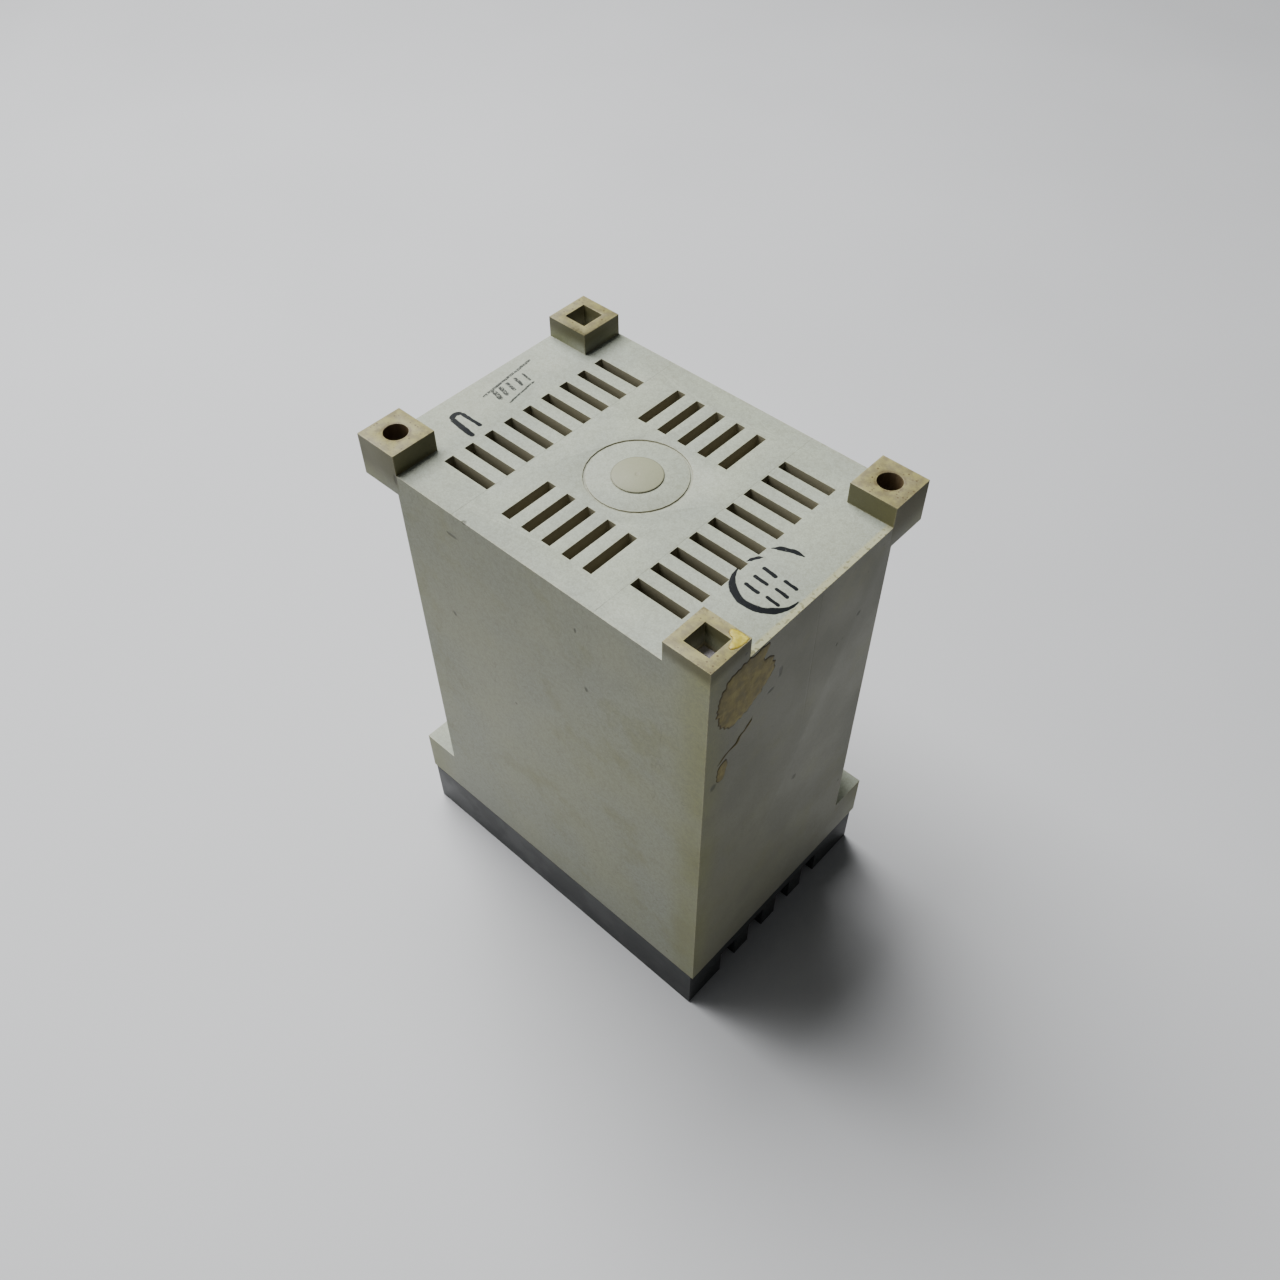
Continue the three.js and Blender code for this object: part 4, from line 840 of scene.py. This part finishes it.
# %% Capacitor sleeve with a bare top
material, tree, shader, place, sleeve_tone = dipped("capacitor sleeve", colour(24, 34, 48),
                                                    colour(34, 46, 62), 0.34, 0.3)
cap_low, cap_high = (np.array(v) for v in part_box("storage_capacitor"))
cap_y = float((cap_low[1] + cap_high[1]) / 2)
xyz = add(tree, "SeparateXYZ", None, Vector=place)
x, y, z = xyz.outputs
stripe = calc(tree, "MULTIPLY", calc(tree, "LESS_THAN", calc(tree, "ABSOLUTE", x), 1.3 * MM),
              calc(tree, "LESS_THAN", y, cap_y))
radius = add(tree, "VectorMath", {"operation": "LENGTH"}, i0=add(
    tree, "CombineXYZ", None, X=x, Y=calc(tree, "SUBTRACT", y, cap_y), Z=0.0).outputs[0])
bare = calc(tree, "MULTIPLY", calc(tree, "GREATER_THAN", z, float(cap_high[2]) - 0.2 * MM),
            ramp(tree, radius.outputs["Value"], 4.3 * MM, 4.1 * MM))
score = calc(tree, "MINIMUM", calc(tree, "ABSOLUTE", x),
             calc(tree, "ABSOLUTE", calc(tree, "SUBTRACT", y, cap_y)))
scored = calc(tree, "MULTIPLY", bare, ramp(tree, score, 0.22 * MM, 0.14 * MM))
tone = blend(tree, calc(tree, "MULTIPLY", stripe, 0.85), sleeve_tone, colour(176, 182, 186))
tone = blend(tree, bare, tone, colour(186, 188, 190))
tone = blend(tree, scored, tone, colour(110, 112, 114))
wire(tree, shader, Base_Color=tone, Metallic=calc(tree, "MULTIPLY", bare, 0.9))
FINISH["sleeve"] = material
print("finish:", material.name)

# %% [markdown]
# The two lamps are red epoxy lenses: clear enough to glow at the rim, diffused inside. A clear
# coat, a low roughness and a cloudy body give their look. Their legs are tinned, and a mask on the
# height behind the lens gives them their metal.

# %% Red lens with tinned legs
material, tree, shader, place = finish("red lens", Coat_Weight=0.6, Coat_Roughness=0.08,
                                       IOR=1.52)
z = add(tree, "SeparateXYZ", None, Vector=place).outputs[2]
leg = ramp(tree, z, 6.85 * MM, 6.95 * MM)
grain = use(tree, GRAIN, Place=place, Grain_size=0.2 * MM, Cloud_size=1.6 * MM)
tone = blend(tree, grain["Cloud"], colour(150, 20, 16), colour(196, 42, 30))
tone = blend(tree, leg, tone, colour(190, 190, 184))
wire(tree, shader, Base_Color=tone, Metallic=leg,
     Roughness=ramp(tree, grain["Cloud"], 0.0, 1.0, 0.14, 0.26))
relief(tree, shader, (grain["Height"], 0.01 * MM, 0.2))
FINISH["red_lens"] = material
print("finish:", material.name)

# %% [markdown]
# Old glue has dried on one corner: a tan crust where a paper label was torn away, with fibres
# that run up and down, and a brighter yellow drop on the lug.


# %% Dried glue
def dried_glue(name, deep, light, speck_colour, gloss):
    """Brittle glue: fibres along Z, tone in patches, a few dark grains."""
    material, tree, shader, place = finish(name, Specular_IOR_Level=0.4)
    pulled = add(tree, "VectorMath", {"operation": "MULTIPLY"}, i0=place,
                 i1=(1500.0, 1500.0, 260.0))
    fibre = add(tree, "TexNoise", None, Vector=pulled.outputs[0], Scale=1.0, Detail=4.0)
    patch = add(tree, "TexNoise", None, Vector=place, Scale=420.0, Detail=5.0, Roughness=0.65)
    grains = use(tree, SPECKS, Place=place, Spacing=0.7 * MM, Share=0.16, Size=0.20)["Mask"]
    tone = blend(tree, ramp(tree, patch.outputs[0], 0.35, 0.68), deep, light)
    tone = blend(tree, ramp(tree, fibre.outputs[0], 0.5, 0.75, 0.0, 0.4), tone, deep)
    tone = tinge(tree, tone, grains, 0.7, speck_colour)
    # The rims of the glue are painted darker, in patches.
    wear = use(tree, WEAR, Place=place, Width=0.35 * MM, Patch_size=0.8 * MM, Amount=0.6)
    tone = tinge(tree, tone, wear["Mask"], 0.75, speck_colour)
    wire(tree, shader, Base_Color=tone,
         Roughness=ramp(tree, patch.outputs[0], 0.3, 0.7, gloss, gloss + 0.18))
    relief(tree, shader, (fibre.outputs[0], 0.08 * MM, 0.5), (patch.outputs[0], 0.1 * MM, 0.5))
    return material


FINISH["crust"] = dried_glue("tan glue crust", colour(120, 110, 68), colour(156, 144, 94),
                             colour(64, 54, 34), 0.62)
FINISH["drop"] = dried_glue("yellow glue drop", colour(166, 150, 40), colour(216, 204, 88),
                            colour(120, 88, 40), 0.34)
print("finishes:", FINISH["crust"].name, FINISH["drop"].name)

# %% [markdown]
# ## Dressing the frame
# Each CAD node names its material slot in the record. Every node gets the finish of its slot.

# %% Finishes onto the frame
SLOT_OF = {}
for part in frame["record"]["subparts"]:
    SLOT_OF[part["node"]] = part["material_slot"]
for name, node in frame["nodes"].items():
    node.data.materials.clear()
    node.data.materials.append(FINISH[SLOT_OF[name]])
print("nodes dressed:", len(frame["nodes"]))

# %% [markdown]
# ## Rounding the moulded and stamped pieces
# CAD edges are knife-sharp, and nothing real is. A moulded case has edges of about 0.3 mm, a
# stamped plate less. The CAD mesh is loose triangles, so a copy is merged first, its flat
# triangles are joined into whole faces, and only then is it bevelled. The copy stands for the
# node, rides on the node's own body and keeps the node's slot.

# %% A rounded copy of a node
BODY_OF = {}
for body, members in frame["record"]["behaviour"]["bodies"].items():
    for member in members:
        BODY_OF[member] = body


def rounded_copy(name, label, radius_mm, segments=2, angle=28.0):
    """A merged, bevelled copy of CAD node name, shown in its place."""
    mesh = frame["nodes"][name].data
    work = bmesh.new()
    work.from_mesh(mesh)
    bmesh.ops.remove_doubles(work, verts=work.verts, dist=2e-6)
    bmesh.ops.dissolve_limit(work, angle_limit=math.radians(0.5), verts=work.verts,
                             edges=work.edges)
    fresh = bpy.data.meshes.new(label)
    for face in work.faces:
        face.smooth = True
    work.to_mesh(fresh)
    work.free()
    fresh.materials.append(FINISH[SLOT_OF[name]])
    piece = bpy.data.objects.new(label, fresh)
    bpy.context.collection.objects.link(piece)
    bevel = piece.modifiers.new("rounded edges", "BEVEL")
    bevel.width = radius_mm * MM
    bevel.segments = segments
    bevel.limit_method = "ANGLE"
    bevel.angle_limit = math.radians(angle)
    bevel.harden_normals = True
    bevel.use_clamp_overlap = True
    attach(piece, BODY_OF[name])
    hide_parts(name)
    return piece


ROUNDED = {"rear_case": 0.28, "front_cover": 0.25, "face_label": 0.08, "heat_sink": 0.18,
           "storage_capacitor": 0.5, "board_link": 0.15}
for number in (1, 2):
    ROUNDED.update({f"terminal_block_{number}": 0.2, f"varistor_{number}": 1.3,
                    f"snubber_resistor_{number}": 0.9, f"snubber_capacitor_{number}": 0.9,
                    f"optocoupler_{number}": 0.2, f"triac_{number}": 0.25,
                    f"sink_screw_{number}": 0.12, f"triac_screw_{number}": 0.12,
                    f"sink_post_{number}": 0.1})
for number in range(1, 9):
    ROUNDED.update({f"terminal_{number}": 0.12, f"clamp_plate_{number}": 0.16,
                    f"terminal_screw_{number}": 0.12})
for number in range(1, 5):
    ROUNDED[f"case_screw_{number}"] = 0.12
for name, radius in ROUNDED.items():
    steps_round = 3 if radius > 0.4 else 2
    piece = rounded_copy(name, name + "_finished", radius, steps_round)
print("rounded copies:", len(ROUNDED))

# %% [markdown]
# ## Glue and torn paper on one corner
# The crust on the short end is a closed skin over a ragged outline. Its outline is given as a
# distance from the middle for each direction; rings shrink from it to the middle, and the height
# of each ring follows a dome that is nearly flat, roughened by a few waves. A second sheet, a
# hair inside the wall, closes it underneath.


# %% A thin ragged patch as a closed skin
def patch_surface(outline, height, frame_at, rings=22, around=180, ragged=0.03, seed=3):
    """Vertices and faces of a patch. Ring k of n lies at share s = k / n of the outline's
    distance r(t); the top stands height * (1 - s^8) * (0.7 + 0.3 waves), the underside lies
    0.03 mm inside. frame_at turns (across, up, out) in millimetres into metres."""
    rng = np.random.default_rng(seed)
    t = np.linspace(0, 2 * np.pi, around, endpoint=False)
    angles = np.radians([a for a, _ in outline])
    order = np.argsort(angles)
    radii = np.interp(t, angles[order], np.array([r for _, r in outline])[order],
                      period=2 * np.pi)
    waves = sum(rng.uniform(0.3, 1.0) * np.sin(k * t + rng.uniform(0, 6.28))
                for k in (7, 11, 17, 23, 31)) / 3.0
    radii = radii * (1 + ragged * waves)
    s = (np.arange(1, rings + 1) / rings)[:, None]
    across, rise = s * radii * np.cos(t), s * radii * np.sin(t)
    rough = sum(rng.uniform(0.4, 1.0) * np.sin(across * rng.uniform(0.8, 4.0) + rise *
                rng.uniform(0.6, 2.0) + rng.uniform(0, 6.28)) for _ in range(7)) / 4.0
    out = height * (1 - s ** 8) * (0.70 + 0.30 * rough)
    top = np.stack([across, rise, np.maximum(out, 0.0)], -1).reshape(-1, 3)
    under = np.stack([across, rise, np.full_like(out, -0.03)], -1).reshape(-1, 3)
    poles = np.array([[0, 0, height * 0.75], [0, 0, -0.03]])
    points = frame_at(np.vstack([top, under, poles]))
    col = np.arange(around)
    nxt = (col + 1) % around
    base = (np.arange(rings - 1) * around)[:, None]
    quads_top = np.stack([base + col, base + around + col, base + around + nxt, base + nxt], -1)
    low = rings * around
    quads_low = quads_top[..., ::-1] + low
    rim = low - around
    quads_rim = np.stack([rim + col, low + rim + col, low + rim + nxt, rim + nxt], -1)
    quads = np.vstack([quads_top.reshape(-1, 4), quads_low.reshape(-1, 4), quads_rim])
    fan_top = np.stack([col, nxt, np.full(around, 2 * low)], -1)
    fan_low = np.stack([low + nxt, low + col, np.full(around, 2 * low + 1)], -1)
    return points, quads.tolist() + fan_top.tolist() + fan_low.tolist()


def skin_piece(label, points, faces, material, body, slot):
    """A smooth mesh piece from computed points, riding on body."""
    mesh = bpy.data.meshes.new(label)
    mesh.from_pydata(points.tolist(), [], faces)
    mesh.polygons.foreach_set("use_smooth", np.ones(len(mesh.polygons), bool))
    work = bmesh.new()
    work.from_mesh(mesh)
    bmesh.ops.recalc_face_normals(work, faces=work.faces)
    work.to_mesh(mesh)
    work.free()
    mesh.materials.append(material)
    piece = bpy.data.objects.new(label, mesh)
    bpy.context.collection.objects.link(piece)
    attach(piece, body)
    return piece


def on_short_end(middle_y, middle_z):
    """Puts (across, up, out) on the +X wall: across is +Y, up is +Z, out is +X."""
    def put(local):
        return np.stack([HALF_X + local[:, 2] * MM, (middle_y + local[:, 0]) * MM,
                         (middle_z + local[:, 1]) * MM], -1)
    return put


def on_lug_top(middle_x, middle_y):
    """Puts (across, up, out) on a lug's top: across is +X, up is +Y, out is +Z."""
    def put(local):
        return np.stack([(middle_x + local[:, 0]) * MM, (middle_y + local[:, 1]) * MM,
                         LUG_TOP_Z + local[:, 2] * MM], -1)
    return put


print("makers: patch_surface, skin_piece")

# %% [markdown]
# Three patches share that maker. Each outline below is a list of directions in degrees and
# distances in millimetres from the patch's middle, with only the points that its shape turns on.
# The two on the wall are placed by y and z, and the drop on the lug by x and y.

# %% The crust, its lower remnant and the drop on the lug
CRUST_AT, REMNANT_AT, DROP_AT = (-19.5, 99.9), (-23.7, 82.2), (38.45, -20.25)
CRUST_PROUD, REMNANT_PROUD, DROP_PROUD = 0.30, 0.16, 0.20
CRUST = [(-165, 6.4), (-139, 7.0), (-119, 7.6), (-94, 7.0), (-65, 6.4), (-39, 6.6), (-21, 7.6),
         (-10, 7.8), (0, 7.7), (12, 7.5), (22, 6.9), (33, 5.7), (40, 6.0), (44, 8.4), (52, 8.2),
         (60, 7.6), (74, 7.0), (87, 6.7), (108, 6.8), (129, 7.2), (158, 6.5), (173, 6.6)]
REMNANT = [(-150, 1.3), (-110, 2.4), (-80, 2.6), (-40, 1.4), (0, 1.2), (40, 2.0), (70, 2.9),
           (110, 2.2), (150, 1.2)]
DROP = [(0, 1.40), (30, 1.62), (45, 1.9), (70, 1.5), (110, 1.55), (140, 2.0), (155, 2.25),
        (175, 1.6), (200, 0.75), (230, 0.62), (255, 0.95), (272, 2.0), (285, 2.4), (310, 1.8),
        (335, 1.5)]
crust = skin_piece("glue_crust", *patch_surface(CRUST, CRUST_PROUD, on_short_end(*CRUST_AT),
                                                ragged=0.07),
                   FINISH["crust"], "case", "label")
remnant = skin_piece("glue_remnant", *patch_surface(REMNANT, REMNANT_PROUD,
                                                    on_short_end(*REMNANT_AT),
                                                    rings=10, around=96, seed=5),
                     FINISH["crust"], "case", "label")
drop = skin_piece("glue_drop", *patch_surface(DROP, DROP_PROUD, on_lug_top(*DROP_AT), rings=16,
                                              around=120, ragged=0.05, seed=8),
                  FINISH["drop"], "case", "label")
print("patches:", crust.name, remnant.name, drop.name)

# %% [markdown]
# Between the two patches a thread of glue has stayed on the wall. It is a half-round profile
# carried along a wavy path, thinning to nothing at both ends.


# %% A thread of glue along a path
def thread_surface(path, width, height, steps=90, around=9):
    """Points and faces of a half-round thread: at share u of the path it is
    width * sin(pi u)^0.5 wide; the profile is a half ellipse closed flat on the wall."""
    path = np.array(path, float)
    u = np.linspace(0.004, 0.996, steps)
    at_knot = np.linspace(0, 1, len(path))
    line = np.stack([np.interp(u, at_knot, path[:, 0]), np.interp(u, at_knot, path[:, 1])], -1)
    line += 0.10 * np.stack([np.sin(31 * u), np.cos(23 * u)], -1)
    along = np.gradient(line, axis=0)
    along /= np.linalg.norm(along, axis=1, keepdims=True)
    side = np.stack([-along[:, 1], along[:, 0]], -1)
    size = np.sqrt(np.sin(np.pi * u))[:, None] * (1 + 0.3 * np.sin(17 * u)[:, None])
    a = np.linspace(0, np.pi, around)
    spread = size * width / 2 * np.cos(a)
    out = size * height * np.sin(a) - 0.02
    across = line[:, :1] + side[:, :1] * spread
    rise = line[:, 1:] + side[:, 1:] * spread
    points = np.stack([across, rise, out], -1).reshape(-1, 3)
    k = (np.arange(steps - 1) * around)[:, None]
    j = np.arange(around)
    n = (j + 1) % around
    quads = np.stack([k + j, k + n, k + around + n, k + around + j], -1).reshape(-1, 4)
    ends = [list(range(around)), [(steps - 1) * around + i for i in range(around)]]
    return points, quads.tolist() + ends


THREAD = [(-25.0, 84.9), (-23.2, 86.1), (-20.4, 86.7), (-19.0, 88.0), (-17.2, 88.9), (-16.2, 90.4)]
THREAD_WIDTH, THREAD_PROUD = 0.55, 0.16
points, faces = thread_surface(THREAD, THREAD_WIDTH, THREAD_PROUD)
thread = skin_piece("glue_thread", on_short_end(0.0, 0.0)(points), faces, FINISH["crust"],
                    "case", "label")
print("thread:", len(thread.data.polygons), "faces")

# %% [markdown]
# ## Floor, light and camera
# The module stands on a plain pale floor. The light is soft and comes mostly from above and
# behind the left shoulder, so the back wall is brightest, the long side is in half light and the
# short end is in shade, with a soft shadow beyond it.

# %% Floor
FLOOR_REACH = 3.0
floor_mesh = bpy.data.meshes.new("floor")
corners = np.array([[-1, -1, 0], [1, -1, 0], [1, 1, 0], [-1, 1, 0]], float) * FLOOR_REACH
floor_mesh.from_pydata(corners.tolist(), [], [(0, 1, 2, 3)])
floor = bpy.data.objects.new("floor", floor_mesh)
bpy.context.collection.objects.link(floor)
material, tree, shader, place = finish("pale floor", Specular_IOR_Level=0.3)
soft = add(tree, "TexNoise", None, Vector=place, Scale=9.0, Detail=2.0)
wire(tree, shader, Base_Color=blend(tree, soft.outputs[0], colour(200, 201, 203),
                                    colour(208, 209, 211)),
     Roughness=ramp(tree, soft.outputs[0], 0.3, 0.7, 0.55, 0.65))
floor_mesh.materials.append(material)
print("floor reaches", FLOOR_REACH, "m")

# %% [markdown]
# A large lamp gives soft shadows, and a dim, even sky fills them. Area lamps face along their own
# -Z, so each is turned to look at the module.


# %% Lamps and sky
def soft_lamp(name, place, target, size, watts):
    """A square area lamp at place, aimed at target."""
    data = bpy.data.lights.new(name, "AREA")
    data.shape = "SQUARE"
    data.size = size
    data.energy = watts
    lamp = bpy.data.objects.new(name, data)
    bpy.context.collection.objects.link(lamp)
    lamp.location = place
    aim = Vector(target) - Vector(place)
    lamp.rotation_euler = aim.to_track_quat("-Z", "Y").to_euler()
    return lamp


MIDDLE = (0.0, 0.0, 0.06)
soft_lamp("key", (-0.41, 0.04, 0.83), MIDDLE, 0.62, 16.5)
soft_lamp("side", (-0.45, -1.20, 0.75), MIDDLE, 0.9, 1.2)
world = bpy.data.worlds.new("sky")
world.use_nodes = True
world.node_tree.nodes["Background"].inputs["Color"].default_value = (0.96, 0.98, 1.0, 1.0)
world.node_tree.nodes["Background"].inputs["Strength"].default_value = 0.07
bpy.context.scene.world = world

# %% [markdown]
# The camera looks down at about 49 degrees over the corner between the long front side and the
# short end. Its place and direction are set as a matrix: the view's right, its up, and the way
# back out of the picture.

# %% Camera
CAMERA_PLACE = Vector((0.1061, -0.1139, 0.2445))
VIEW = Vector((-0.44425, 0.47776, -0.75788)).normalized()
RIGHT = Vector((0.73747, 0.67535, -0.00654))
RIGHT = (RIGHT - VIEW * RIGHT.dot(VIEW)).normalized()
UP = RIGHT.cross(VIEW)
eye = bpy.data.cameras.new("eye")
eye.lens = 33.71
eye.sensor_width = 36.0
eye.clip_start = 0.01
camera = bpy.data.objects.new("eye", eye)
bpy.context.collection.objects.link(camera)
turned = Matrix((RIGHT, UP, -VIEW)).transposed().to_4x4()
camera.matrix_world = Matrix.Translation(CAMERA_PLACE) @ turned
bpy.context.scene.camera = camera
print("camera at", tuple(round(v, 4) for v in camera.location))
